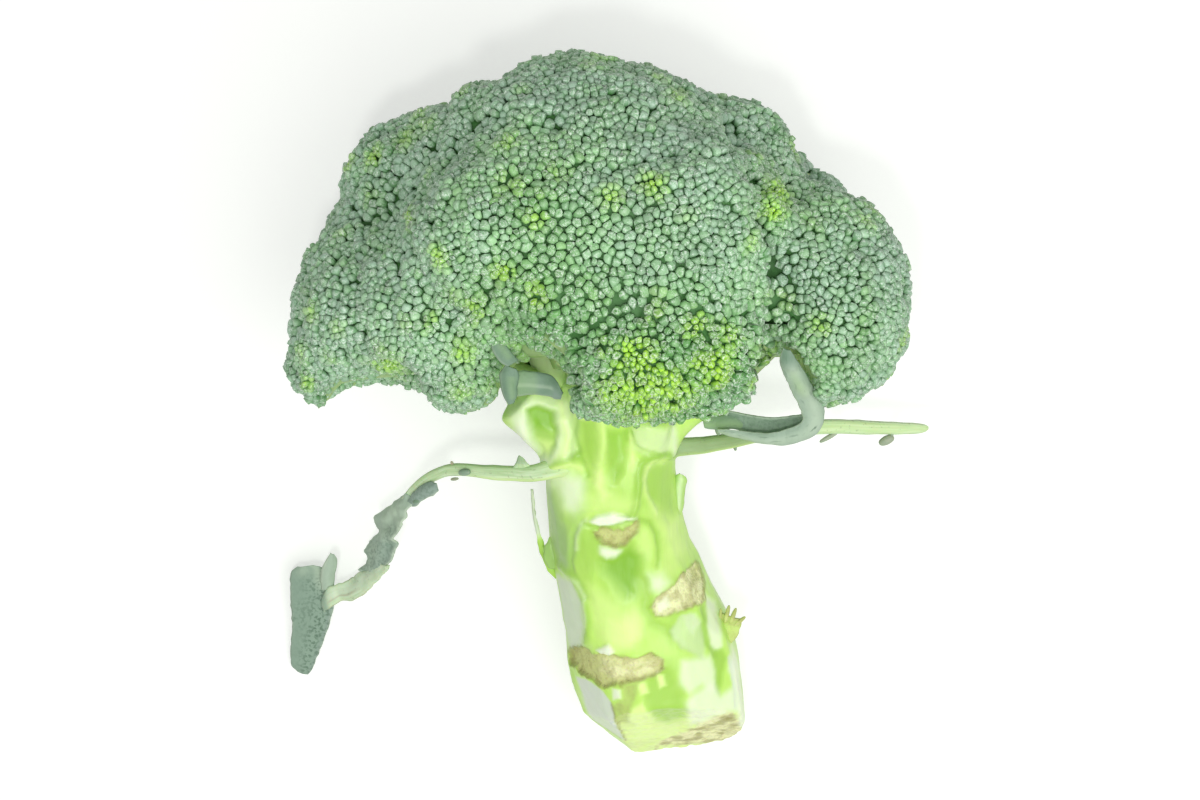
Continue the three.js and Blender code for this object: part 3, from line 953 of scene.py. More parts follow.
def bud_tree() -> NodeTree:
    """The geometry tree that grows a bud on every point, turned and sized by the point's values."""
    tree, given = new_growth("bud_growth", {"Bud shapes": "Collection", "Swell": "Float"})
    picked = {
        "Collection": given.outputs["Bud shapes"], "Separate Children": True, "Reset Children": True
    }
    shapes = add_node(tree, "GeometryNodeCollectionInfo", None, picked)
    kind, turn, girth = (
        add_node(
            tree, "GeometryNodeInputNamedAttribute", {"data_type": sort}, {"Name": name}
        ).outputs["Attribute"]
        for name, sort in (("kind", "INT"), ("turn", "QUATERNION"), ("girth", "FLOAT_VECTOR"))
    )
    size = add_node(
        tree, "ShaderNodeVectorMath", {"operation": "SCALE"}, {0: girth, "Scale": given.outputs["Swell"]}
    )
    placed = {
        "Points": given.outputs["Geometry"], "Instance": shapes.outputs["Instances"],
        "Pick Instance": True, "Instance Index": kind, "Rotation": turn, "Scale": size.outputs["Vector"]
    }
    buds = add_node(tree, "GeometryNodeInstanceOnPoints", None, placed)
    end_growth(tree, given, buds.outputs["Instances"])
    return tree


def spray_tree() -> NodeTree:
    """The geometry tree that gives every line of a spray of small branches its thickness."""
    tree, given = new_growth("branch_growth", {"Sides": "Int"})
    lines = add_node(tree, "GeometryNodeMeshToCurve", None, {"Mesh": given.outputs["Geometry"]})
    round_one = {"Resolution": given.outputs["Sides"], "Radius": 1.0}
    ring = add_node(tree, "GeometryNodeCurvePrimitiveCircle", None, round_one)
    radius = add_node(tree, "GeometryNodeInputNamedAttribute", {"data_type": "FLOAT"}, {"Name": "radius"})
    drawn = {
        "Curve": lines.outputs["Curve"], "Profile Curve": ring.outputs["Curve"],
        "Scale": radius.outputs["Attribute"], "Fill Caps": True
    }
    tubes = add_node(tree, "GeometryNodeCurveToMesh", None, drawn)
    smooth = add_node(tree, "GeometryNodeSetShadeSmooth", None, {"Geometry": tubes.outputs["Mesh"]})
    end_growth(tree, given, smooth.outputs["Geometry"])
    return tree


# ---------------------------------------------------------------- the crown


@dataclass(frozen=True)
class Packing:
    """What a habit does to each bud.

    Attributes:
        scatter: How far the bud points off its own way, at random.
        sink: How far it lies below its neighbours at most, in millimetres.
        stretch: How tall it is, as a share of a tight one.
        opened: The chance that it is opening.
    """

    scatter: float
    sink: float
    stretch: float
    opened: float


class Habit(Enum):
    """How tightly a head's buds are packed."""

    TIGHT = Packing(scatter=0.15, sink=0.8, stretch=1.0, opened=0.04)
    LOOSE = Packing(scatter=0.28, sink=1.2, stretch=1.2, opened=0.5)


@dataclass(frozen=True)
class Patch:
    """A round patch of younger or greener buds, as seen from above.

    Attributes:
        x: The middle, in millimetres.
        y: The middle, in millimetres.
        radius: Where the patch has faded to about a third, in millimetres.
        strength: How young or green the buds in the middle are, from 0 to 1.
    """

    x: float
    y: float
    radius: float
    strength: float

    def weight(self, places: Array) -> Array:
        """How strongly the patch shows at each point, on the upper side only."""
        gap = np.hypot(places[:, 0] / MM - self.x, places[:, 1] / MM - self.y)
        return self.strength * np.exp(-((gap / self.radius) ** 2)) * (places[:, 2] > PATCH_FLOOR)


YOUNG_PATCHES = (
    Patch(7.8, 14.9, 5.4, 1.15), Patch(8.5, 4.0, 6.0, 1.2), Patch(18.5, 4.0, 4.6, 0.9),
    Patch(27.5, 11.5, 5.4, 1.05), Patch(14.5, 9.0, 4.0, 0.8), Patch(22.8, 22.3, 3.4, 1.0),
    Patch(31.1, 20.3, 3.0, 0.8), Patch(11.8, 26.4, 3.0, 0.9), Patch(-0.5, 5.0, 4.5, 0.8),
    Patch(51.5, 23.0, 3.4, 0.8), Patch(43.5, 57.2, 4.0, 0.95), Patch(41.3, 49.8, 3.6, 0.85),
    Patch(-51.6, 12.3, 4.0, 0.8), Patch(-32.2, 15.5, 3.4, 0.6), Patch(-32.2, 6.7, 3.4, 0.6),
    Patch(-15.3, 28.4, 3.6, 0.8), Patch(-22.6, 33.7, 3.0, 0.85), Patch(-29.9, 25.3, 3.4, 0.8),
    Patch(-40.3, 23.2, 3.4, 0.6), Patch(-14.4, 46.2, 4.0, 0.6), Patch(-21.7, 55.5, 4.5, 0.55),
    Patch(-10.1, 59.8, 4.0, 0.5), Patch(11.8, 53.4, 2.6, 0.8), Patch(19.8, 81.7, 3.0, 0.6),
    Patch(-49.6, 72.6, 4.0, 0.6)
)
LOOSE_PATCHES = (
    Patch(16, 8, 17, 1.0), Patch(30, 12, 9, 0.8), Patch(-12, 22, 14, 0.6), Patch(-16, 52, 9, 0.5)
)
GREENER_PATCHES = (
    Patch(10, 13, 22, 0.75), Patch(-14, 50, 20, 0.5), Patch(-34, 14, 16, 0.3), Patch(50, 18, 18, 0.4),
    Patch(-16, 22, 14, 0.45), Patch(44, 54, 9, 0.7)
)


@dataclass(frozen=True)
class Dent:
    """A cleft or a notch that is pushed into the crown; pushed out where its depth is below 0.

    Attributes:
        start: One end of its middle line, as seen from above, in millimetres.
        end: The other end.
        radius: How wide it is, in millimetres.
        depth: How far it goes in, in millimetres.
        bare: How near its middle line no buds grow, in millimetres.
        stem: Whether pale stem tissue shows where it is bare, not the deep green of a cleft.
        low: The height that it starts at; it is full 20 mm above, in millimetres.
        high: The height that it is full up to, in millimetres.
    """

    start: tuple[float, float]
    end: tuple[float, float]
    radius: float
    depth: float
    bare: float = 0.0
    stem: bool = False
    low: float = 35.0
    high: float = 200.0

    def gap(self, places: Array) -> Array:
        """How far each point is from the middle line, as seen from above, in millimetres."""
        return line_distance(places[:, :2] / MM, np.array([self.start, self.end]))

    def push(self, places: Array) -> Array:
        """How far each point goes in; what is below or above its heights stays."""
        height = places[:, 2] / MM
        upper = eased(self.low, self.low + 20, height) * (1 - eased(self.high, self.high + 10, height))
        return self.depth * MM * upper * np.exp(-((self.gap(places) / self.radius) ** 2))


DENTS = (
    Dent((39.0, 60), (41.5, 44.6), 2.2, 5.0), Dent((41.5, 44.6), (43.6, 37), 1.9, 6.0),
    Dent((43.6, 37), (44.2, 18), 1.8, 7.0), Dent((43.8, 13), (44.8, 8), 4.2, 11.0, 2.0),
    Dent((40, 9), (47, 10), 6.5, 11.0, low=5.0, high=46.0), Dent((54, 8), (62, 8), 4.0, -2.0),
    Dent((-64, 5), (-50, 5), 7.0, 6.0), Dent((-74, 6), (-72, 4), 4.5, -1.6),
    Dent((-40, 4), (-30, 4), 5.5, -1.2), Dent((-76, 37), (-78, 24), 4.0, 2.2),
    Dent((-43, 75), (-32, 80), 5.0, -3.0), Dent((2, 90), (12, 86), 5.0, 1.4),
    Dent((40, 76), (46, 68), 4.5, 2.6), Dent((-15, 10.5), (-11, 8.5), 4.6, 7.5, 2.6, True),
    Dent((-19.5, 16.0), (-15.0, 14.5), 2.5, 4.0, 1.6, True), Dent((-58, 66), (-46, 40), 3.0, 1.2),
    Dent((33, 74), (37, 60), 2.6, 2.6), Dent((-30, 72), (-44, 56), 3.0, 2.2),
    Dent((-26, 30), (-22, 8), 2.8, 2.6), Dent((4, 27), (-8, 18), 2.4, 2.2)
)


HIGH = 200 * MM  # above every part of the head
AROUND = np.array([(0, 0, 0), (1, 0, 0), (0, 1, 0), (-1, 0, 0), (0, -1, 0)], float)


@dataclass
class FloretHead:
    """One head of the crown, with its small branches and its buds.

    Attributes:
        name: The floret's name in the frame, without "head_".
        habit: How tightly its buds are packed.
        spacing: How far apart its buds stand, as a share of the crown's pitch.
        widths: The narrowest and the widest that a bud can be.
        tallest: The tallest that a bud can be.
        young_from: The youth from which a bud is a young one.
        opening_until: The youth from which no bud is opening.
        limbs: How many limbs its neck parts into at most.
        twigs: How many twigs those part into at most.
        twig_gap: The distance between the ends of the twigs.
    """

    name: str
    habit: Habit = Habit.TIGHT
    spacing: float = 1.0
    widths: tuple[float, float] = (1.3 * MM, 3.5 * MM)
    tallest: float = 3.4 * MM
    young_from: float = 0.45
    opening_until: float = 0.8
    limbs: int = 7
    twigs: int = 21
    twig_gap: float = 4.6 * MM
    skin: Skin = field(init=False)
    neck: Array = field(init=False)

    def __post_init__(self) -> None:
        """Reads the head's skin and where its neck is."""
        self.skin = Skin.of(f"head_{self.name}")
        branch = Skin.of(f"branch_{self.name}").places
        gap = np.array([self.skin.tree.find_nearest(p)[3] for p in branch.tolist()])
        self.neck = branch[gap < gap.min() + 1.5 * MM].mean(axis=0)

    def facing(self, places: Array, normals: Array) -> Array:
        """How squarely the skin faces away from the neck: 1 on top of the domes, 0 on the underside."""
        return np.sum(normals * unit(places - self.neck), axis=1)

    def domed(self, places: Array, normals: Array) -> Array:
        """How surely buds cover the skin: above 0 they do, below 0 the small branches show."""
        ragged = 0.08 + 0.08 * noise(places, 6 * MM, 3)
        return np.maximum(self.facing(places, normals) - ragged, normals[:, 2] + 0.05)

    def seeds(self, rng: np.random.Generator, growth: "Growth") -> dict[str, Array]:
        """Works out each bud's tip, the way it points, its turn, size, kind and age."""
        places, normals = growth.places, growth.normals
        count = len(places)
        packing = self.habit.value
        aim = 0.75 * normals + 0.25 * unit(places - self.neck) + 0.7 * growth.lean
        aim = unit(aim + packing.scatter * rng.normal(size=(count, 3)))
        sink = growth.sunk + packing.sink * MM * rng.random(count) ** 1.5
        wide = growth.room * (1.38 - 0.1 * growth.youth) * (1 + 0.05 * rng.normal(size=count))
        wide = np.clip(wide, *self.widths)
        tall = np.minimum(wide * (1.1 + 0.3 * rng.random(count)) * packing.stretch, self.tallest)
        oval = np.clip(0.13 * rng.normal(size=count), -0.3, 0.3)
        tips = places - normals * sink[:, None]
        lean = np.sqrt(np.clip(1 - aim[:, 2] ** 2, 0, 1))
        tips[:, 2] = np.maximum(tips[:, 2], np.where(aim[:, 2] < -0.9, 0.1 * MM, 0.5 * wide * lean))
        kind = np.where(growth.youth > self.young_from, BudKind.YOUNG, BudKind.CLOSED)
        opening = rng.random(count) < packing.opened
        kind = np.where(opening & (growth.youth < self.opening_until), BudKind.OPENING, kind)
        slack = sum(p.weight(places) for p in LOOSE_PATCHES)
        return {
            "tip": tips, "aim": aim,
            "girth": np.stack([wide * (1 + oval), wide * (1 - oval), tall], axis=1),
            "turn": turn_from_up(aim, rng.uniform(0, math.tau, count)), "kind": kind.astype(np.int32),
            "youth": growth.youth, "loose": np.clip(slack * (0.6 + 0.8 * rng.random(count)), 0, 1),
            "fresh": np.clip(growth.fresh + 0.15 * rng.normal(size=count), 0, 1),
            "tone": np.clip(0.2 + 0.6 * rng.random(count) + 0.35 * noise(places, 8 * MM, 21), 0, 1)
        }

    def spray(self, rng: np.random.Generator, others: BVHTree, roof: BVHTree) -> Mesh:
        """The lines of the small branches: from the neck they part twice, then end under the buds.

        Args:
            rng: The source of every random draw.
            others: The rest of the plant, which hides part of the underside.
            roof: The crown's skin, which every line stays under.

        Returns:
            A mesh of loose edges, with the radius at each point.
        """
        places, normals = self.skin.sow(rng, 6 * MM, 30)
        starts = places + normals * 0.6 * MM
        rays = zip(starts.tolist(), normals.tolist())
        clear = np.array([others.ray_cast(p, n, 1.2 * MM)[0] is None for p, n in rays])
        low = clear & (self.domed(places, normals) < 0.12)
        places, normals = places[low], normals[low]
        kept = thinned(places, np.full(len(places), self.twig_gap))
        tips = places[kept] - normals[kept] * 1.2 * MM
        axis = unit(self.skin.places.mean(axis=0) - self.neck)
        side = unit(np.cross(axis, [0.3, 0.1, 1.0]))
        angle = np.arctan2((tips - self.neck) @ np.cross(axis, side), (tips - self.neck) @ side)
        limb, twig = (
            np.floor((angle + math.pi) / math.tau * count).astype(int) % count
            for count in (self.limbs, self.twigs)
        )
        points, lines, radii = [], [], []
        heart = self.skin.places.mean(axis=0)

        def sheltered(place: Array, thick: float) -> Array:
            """The place, drawn in until the head roofs it over."""
            for _ in range(14):
                over_it = (place + (thick + 2.5 * MM) * AROUND) * [1, 1, 0] + [0, 0, HIGH]
                drops = [roof.ray_cast(Vector(p), Vector((0, 0, -1)))[3] for p in over_it]
                if None not in drops and max(drops) < HIGH - place[2] - 3.5 * MM - thick:
                    break
                place = place + 0.14 * (heart - place)
            return place

        def stretch(start: Array, end: Array, thick: float, thin: float) -> None:
            """Adds one line from start to end, a little crooked, getting thinner."""
            first = len(points)
            for share in np.linspace(0, 1, 4):
                crook = 0.3 * MM * math.sin(math.pi * share) * unit(rng.normal(size=3))
                radii.append(thick + (thin - thick) * share)
                points.append(sheltered(start + (end - start) * share + crook, radii[-1]))
            lines.extend((first + i, first + i + 1) for i in range(3))

        reach = heart - self.neck
        for share, after in ((-0.12, 0.25), (0.25, 0.5), (0.5, 0.8)):
            ends = self.neck + np.outer([share, after], reach)
            lines.append((len(points), len(points) + 1))
            points.extend(ends)
            radii.extend([(4.6 - 2.6 * share) * MM, (4.6 - 2.6 * after) * MM])
        for one in np.unique(limb):
            fork = self.neck + 0.3 * (tips[limb == one].mean(axis=0) - self.neck)
            foot = self.neck - axis * 2.5 * MM + 0.45 * (fork - self.neck)
            stretch(foot, fork, 3.6 * MM, 3.0 * MM)
            for two in np.unique(twig[limb == one]):
                group = tips[(limb == one) & (twig == two)]
                split = self.neck + 0.62 * (group.mean(axis=0) - self.neck)
                stretch(fork, split, 2.7 * MM, 1.9 * MM)
                for tip in group:
                    stretch(split, tip, 1.5 * MM, 1.0 * MM)
        mesh = new_mesh(f"spray_{self.name}", np.array(points), [], lines)
        write_values(mesh, {"radius": np.array(radii)})
        return mesh


@dataclass
class Clusters:
    """The clusters that buds grow in: small and young in the middle, larger and older outward.

    Attributes:
        pitch: The distance between the middles.
        middles: Where the middles are.
        activity: How young the buds in each middle are, from 0 to 1.
        edge: How far from its middle a cluster ends, as a share of the pitch.
        core: How far out young buds reach, as a share of the way to the edge.
    """

    pitch: float
    middles: Array
    activity: Array
    edge: float = 0.62
    core: float = 0.75

    @classmethod
    def on(cls, skin: Skin, rng: np.random.Generator, pitch: float) -> "Clusters":
        """Spreads clusters over a skin."""
        places = skin.sow(rng, pitch, 60)[0]
        middles = places[thinned(places, np.full(len(places), 0.8 * pitch))]
        return cls(pitch, middles, 0.85 * rng.random(len(middles)) ** 3)

    def read(self, places: Array) -> tuple[Array, Array, Array]:
        """Looks up the cluster that each point is in.

        Args:
            places: Points on the skin.

        Returns:
            How far out of its cluster's middle each point is, with 1 at the cluster's edge; the
            way from the middle, as a share of the pitch; and how young buds are there.
        """
        tree = search_tree(self.middles)
        nearest = np.array([tree.find(place)[1] for place in places.tolist()], int)
        way = (places - self.middles[nearest]) / self.pitch
        out = np.linalg.norm(way, axis=1) / self.edge
        youth = self.activity[nearest] * np.clip(1 - out / self.core, 0, 1)
        blotch = 0.85 + 0.5 * noise(places, 3 * MM, 8)
        youth = np.maximum(youth, sum(p.weight(places) for p in YOUNG_PATCHES) * blotch)
        return out, way, np.clip(youth, 0, 1)


@dataclass
class Growth:
    """Where buds grow and what they are like there.

    Attributes:
        places: Points on the crown's blended skin.
        normals: The outward direction at each.
        room: The distance from each to its neighbours.
        sunk: How far the buds' tips lie below the skin.
        lean: The direction from the cluster's middle, as a share of a cluster's width.
        youth: How young and bright the buds are, from 0 to 1.
        fresh: How green the older buds are, from 0 to 1.
    """

    places: Array
    normals: Array
    room: Array
    sunk: Array
    lean: Array
    youth: Array
    fresh: Array

    def part(self, chosen: Array) -> "Growth":
        """The chosen points only."""
        return Growth(*(getattr(self, name)[chosen] for name in self.__dataclass_fields__))


@dataclass
class Crowd:
    """All the buds together, so that each can be pressed flat against the ones beside it.

    Attributes:
        seeds: Everything that is known of each bud, by name.
        gap: The width of the slit that is left between two pressed buds.
        outline: How far from a slit the painted shade on a bud's skin reaches.
        closest: How near two middles count as at least, as a share of both half widths.
    """

    seeds: dict[str, Array]
    gap: float = 0.04 * MM
    outline: float = 0.1 * MM
    closest: float = 0.45
    middles: Array = field(init=False)
    near: Array = field(init=False)

    def __post_init__(self) -> None:
        """Finds the middle of each bud and the buds beside it."""
        self.seeds["bud"] = np.arange(len(self.seeds["tip"]), dtype=np.int32)
        self.middles = self.seeds["tip"] - self.seeds["aim"] * (0.35 * self.seeds["girth"][:, 2:])
        self.near = neighbours(self.middles, 10)[0]

    def seedbed(self, name: str, chosen: Array) -> Mesh:
        """Makes the points that the chosen buds grow on."""
        mesh = new_mesh(name, self.seeds["tip"][chosen], [])
        known = {key: rows[chosen] for key, rows in self.seeds.items() if key not in ("tip", "aim")}
        write_values(mesh, known)
        return mesh

    def press(self, piece: Object) -> None:
        """Flattens the grown buds against each other and marks the slits for the shade painted at them."""
        mesh = piece.data
        places = read_places(mesh)
        bud = np.empty(len(places), np.int32)
        mesh.attributes["bud"].data.foreach_get("value", bud)
        offset = places - self.middles[bud]
        aim = self.seeds["aim"][bud]
        half = self.seeds["girth"][:, :2].mean(axis=1) / 2
        pressed = np.zeros(len(places))
        for other in self.near[bud].T:
            way = self.middles[other] - self.middles[bud]
            way = way - np.sum(way * aim, axis=1, keepdims=True) * aim
            length = np.linalg.norm(way, axis=1)
            way = way / np.maximum(length, 1e-9)[:, None]
            both = half[bud] + half[other]
            limit = np.maximum(length, self.closest * both) * half[bud] / both - self.gap / 2
            beyond = np.sum(offset * way, axis=1) - limit
            offset = offset - way * np.maximum(beyond, 0)[:, None]
            # painted shade: how strongly each point near a slit is darkened
            pressed = np.maximum(pressed, np.exp(-((np.minimum(beyond, 0) / self.outline) ** 2)))
        place_points(mesh, self.middles[bud] + offset)
        write_values(mesh, {"pressed": pressed})


@dataclass
class Crown:
    """All the heads, blended into one skin, with the bud shapes that they share.

    Attributes:
        heads: The heads.
        swell: How far each head grows before they are blended.
        voxel: The size of the blocks that they are blended in.
        rounding: How many rounds of smoothing close the valleys between them.
        pitch: The usual distance between buds.
        cluster_pitch: The distance between the middles of the clusters that buds grow in.
        dome: How much higher the middle of a cluster is than its edge, in millimetres.
        tuft_pitch: The distance between the middles of the tufts that a cluster is made of.
        tuft: How much higher the middle of a tuft is than its edge, in millimetres.
        bud_depth: How far the tissue between the buds lies below their tips.
        sowing: How many points are tried for each square of the pitch.
        filling: How many more are tried afterwards, in the gaps.
        first_gap: How near two buds start at least, as a share of the room that they want.
        pushing: How many rounds the buds push each other apart.
        fill_gap: How far a gap's middle is from any bud at least, as a share of the room.
    """

    heads: list[FloretHead]
    swell: float = 0.6 * MM
    voxel: float = 2.2 * MM
    rounding: int = 20
    pitch: float = 2.15 * MM
    cluster_pitch: float = 12 * MM
    dome: float = 1.6
    tuft_pitch: float = 5.4 * MM
    tuft: float = 1.0
    bud_depth: float = 2.7 * MM
    sowing: float = 14
    filling: float = 6
    first_gap: float = 0.86
    pushing: int = 10
    fill_gap: float = 0.73

    def blend(self) -> Object:
        """Fuses the heads and smooths the valleys between them."""
        piece = fused("crown_bed", [head.skin for head in self.heads], self.swell, self.voxel)
        places = relaxed(piece.data, read_places(piece.data), [0.5] * self.rounding)
        normals = place_points(piece.data, places)
        push = sum(dent.push(places) for dent in DENTS) - 1.3 * MM
        places = relaxed(piece.data, places - normals * push[:, None], [0.3])
        places[:, 2] = np.maximum(places[:, 2], 0)
        place_points(piece.data, places)
        return piece

    def owners(self, places: Array) -> Array:
        """Which head each point belongs to."""
        corners = np.vstack([head.skin.places for head in self.heads])
        starts = np.cumsum([0] + [len(head.skin.places) for head in self.heads])
        faces = np.vstack([head.skin.faces + start for head, start in zip(self.heads, starts)])
        owner = np.repeat(np.arange(len(self.heads)), [len(head.skin.faces) for head in self.heads])
        tree = BVHTree.FromPolygons(corners.tolist(), faces.tolist())
        return owner[[tree.find_nearest(p)[2] for p in places.tolist()]]

    def domed(self, places: Array, normals: Array, owner: Array) -> Array:
        """How surely buds cover each point, by the head that it belongs to."""
        cover = np.zeros(len(places))
        for number, head in enumerate(self.heads):
            mine = owner == number
            cover[mine] = head.domed(places[mine], normals[mine])
        return cover

    def bare(self, places: Array, dents: list[Dent]) -> Array:
        """Whether each point lies where some of the dents are bare of buds."""
        inside = [dent.gap(places) < dent.bare for dent in dents]
        return np.any(inside, axis=0) & (places[:, 2] > BARE_FLOOR)

    def sown(self, skin: Skin, rng: np.random.Generator, crowding: float) -> tuple[Array, Array]:
        """Random points where buds can grow, and the head that each belongs to."""
        places, normals = skin.sow(rng, self.pitch, crowding)
        owner = self.owners(places)
        rays = zip((places + normals * 0.3 * MM).tolist(), normals.tolist())
        open_air = np.array([skin.tree.ray_cast(p, n, 1.3 * MM)[0] is None for p, n in rays])
        keep = open_air & (self.domed(places, normals, owner) > 0) & ~self.bare(places, DENTS)
        return places[keep], owner[keep]

    def room(self, places: Array, owner: Array, clusters: Clusters) -> Array:
        """How far apart buds want to be at each point: young and chance ones stand closer."""
        pitch = self.pitch * np.array([head.spacing for head in self.heads])[owner]
        chance = 1 + 0.13 * noise(places, 9 * MM, 5) + 0.22 * noise(places, 3 * MM, 6)
        return pitch * chance * (1 - 0.38 * clusters.read(places)[2])

    def spread(self, skin: Skin, rng: np.random.Generator, clusters: Clusters) -> tuple[Array, ...]:
        """Spreads the buds over the blended skin, then puts small ones in the gaps that are left.

        Args:
            skin: The blended skin.
            rng: The source of every random draw.
            clusters: The clusters that the buds grow in.

        Returns:
            The buds' places, the outward directions there, their head and the room they have.
        """
        places, owner = self.sown(skin, rng, self.sowing)
        room = self.room(places, owner, clusters)
        kept = []
        for number in range(len(self.heads)):
            mine = np.flatnonzero(owner == number)
            kept.append(mine[thinned(places[mine], self.first_gap * room[mine])])
        kept = np.concatenate(kept)
        places, owner, room = places[kept], owner[kept], room[kept]
        for _ in range(self.pushing):
            near, gaps = neighbours(places, 6)
            want = 1.05 * (room[:, None] + room[near]) / 2
            push = np.clip(want - gaps, 0, None) / np.maximum(gaps, 1e-6)
            places = places + 0.2 * np.sum((places[:, None] - places[near]) * push[..., None], axis=1)
            places = skin.snap(places)[0]
        extra, extra_owner = self.sown(skin, rng, self.filling)
        tree = search_tree(places)
        found = [tree.find(place)[1:] for place in extra.tolist()]
        gap = np.array([hit[1] for hit in found])
        free = gap > self.fill_gap * np.minimum(room[[hit[0] for hit in found]], self.pitch)
        extra, extra_owner, gap = extra[free], extra_owner[free], gap[free]
        fill = thinned(extra, 0.9 * gap)
        places = np.vstack([places, extra[fill]])
        places, normals = skin.snap(places)
        size = np.append(neighbours(places, 5)[1].mean(axis=1)[: len(kept)], 1.15 * gap[fill])
        return places, normals, np.append(owner, extra_owner[fill]), size

    def relief(self, places: Array, clusters: Clusters, tufts: Clusters) -> Array:
        """How far the buds' tips lie below the skin, so that each cluster is a small dome.

        Args:
            places: Points on the skin.
            clusters: The clusters that the buds grow in.
            tufts: The smaller tufts that the clusters are made of.

        Returns:
            The depth at each point.
        """
        domes = ((clusters, self.dome), (tufts, self.tuft))
        depth = sum(rise * np.clip(group.read(places)[0], 0, 1.2) ** 2 for group, rise in domes)
        return (depth + 0.8 * (1 + noise(places, 22 * MM, 11))) * MM

    def growth(self, skin: Skin, rng: np.random.Generator, clusters: Clusters, tufts: Clusters) -> tuple:
        """Works out where buds grow, how old they are there and which head they belong to."""
        places, normals, owner, room = self.spread(skin, rng, clusters)
        way = tufts.read(places)[1]
        youth = clusters.read(places)[2]
        fresh = sum(p.weight(places) for p in GREENER_PATCHES) + 0.15
        fresh += 0.3 * noise(places, 11 * MM, 9) + 0.2 * noise(places, 4 * MM, 10)
        sunk = self.relief(places, clusters, tufts)
        return Growth(places, normals, room, sunk, way, youth, np.clip(fresh, 0, 1)), owner

    def sink_bed(self, piece: Object, clusters: Clusters, tufts: Clusters) -> None:
        """Sinks the blended skin below the buds' tips and marks the underside; elsewhere shade is painted.
        """
        places = read_places(piece.data)
        normals = place_points(piece.data, places)
        cover = eased(-0.05, 0.3, self.domed(places, normals, self.owners(places)))
        depth = self.relief(places, clusters, tufts) + self.bud_depth
        sink = depth * cover + 1.6 * MM * (1 - cover)
        place_points(piece.data, places - normals * sink[:, None])
        stem = self.bare(places, [dent for dent in DENTS if dent.stem])
        # where under is low, the bed skin paints deep green shade
        write_values(piece.data, {"under": np.maximum(1 - cover, 0.8 * stem)})

    def build(self) -> None:
        """Builds and hands over every head's bed, small branches and buds."""
        shapes = bpy.data.collections.new("bud_shapes")
        for shape in BUD_SHAPES:
            shapes.objects.link(bpy.data.objects.new(f"bud_{shape.kind.value}", shape.mesh()))
        bud_skin = BudSkin("waxy_bud_sepals").material()
        stem_skin = StemSkin("smooth_branchlet_skin").material()
        buds, sprays = bud_tree(), spray_tree()
        bed = self.blend()
        rng = np.random.default_rng(SEED)
        skin = Skin.of_mesh(bed.data)
        clusters = Clusters.on(skin, rng, self.cluster_pitch)
        tufts = Clusters.on(skin, rng, self.tuft_pitch)
        growth, owner = self.growth(skin, rng, clusters, tufts)
        self.sink_bed(bed, clusters, tufts)
        nodes = [f"head_{head.name}" for head in self.heads]
        hand_over(bed, nodes, BedSkin("floret_inner_tissue").material())
        order = np.argsort(owner, kind="stable")
        seeds = [head.seeds(rng, growth.part(owner == number)) for number, head in enumerate(self.heads)]
        crowd = Crowd({key: np.concatenate([one[key] for one in seeds]) for key in seeds[0]})
        plant = {name for name in frame["nodes"] if name.startswith(("head_", "branch_", "main_"))}
        for number, head in enumerate(self.heads):
            inputs = {"Bud shapes": shapes, "Swell": 1.0, "Skin": bud_skin}
            chosen = np.flatnonzero(owner[order] == number)
            piece = grow(f"buds_{head.name}", crowd.seedbed(f"seedbed_{head.name}", chosen), buds, inputs)
            crowd.press(piece)
            hand_over(piece, [nodes[number]])
            rest = sorted(plant - {nodes[number]})
            spray = head.spray(rng, Skin.of(*rest).tree, skin.tree)
            piece = grow(f"branchlets_{head.name}", spray, sprays, {"Sides": 6, "Skin": stem_skin})
            hand_over(piece, [nodes[number]])
        LOG.info("%d buds in all", len(owner))
        for shape in list(shapes.objects):
            bpy.data.objects.remove(shape)
        bpy.data.collections.remove(shapes)


# ---------------------------------------------------------------- the stalk


@dataclass(frozen=True)
class Detail:
    """A feature of the stalk's upper side, with the colours painted there, partly painted light.

    Attributes:
        points: Points in plan, in millimetres.
        blur: How softly it dies out, in millimetres.
        rise: How far it stands up, or down if negative, in millimetres.
        washes: The stalk skin's layers that it paints, each weighted from 0 to 1; some are painted light.
        rim: The weight of the dark line round its edge.
    """

    points: tuple[tuple[float, float], ...]
    blur: float
    rise: float
    washes: tuple[tuple[str, float], ...]
    rim: float = 0.0

    def cover(self, plan: Array) -> tuple[Array, Array]:
        """How fully each point in plan is covered, and how near it is to the edge."""
        raise NotImplementedError


class Stroke(Detail):
    """A ridge or a groove along a route."""

    def cover(self, plan: Array) -> tuple[Array, Array]:
        """Dies out on both sides of the route; it has no edge."""
        gap = line_distance(plan, np.array(self.points))
        return np.exp(-((gap / self.blur) ** 2)), 0 * gap


class Area(Detail):
    """A flat, hollow, sliced or broken place inside an outline."""

    def cover(self, plan: Array) -> tuple[Array, Array]:
        """Full inside the outline, fading across it."""
        depth = inside_depth(plan, np.array(self.points))
        return eased(-self.blur, self.blur, depth), np.exp(-((depth / 0.45) ** 2))
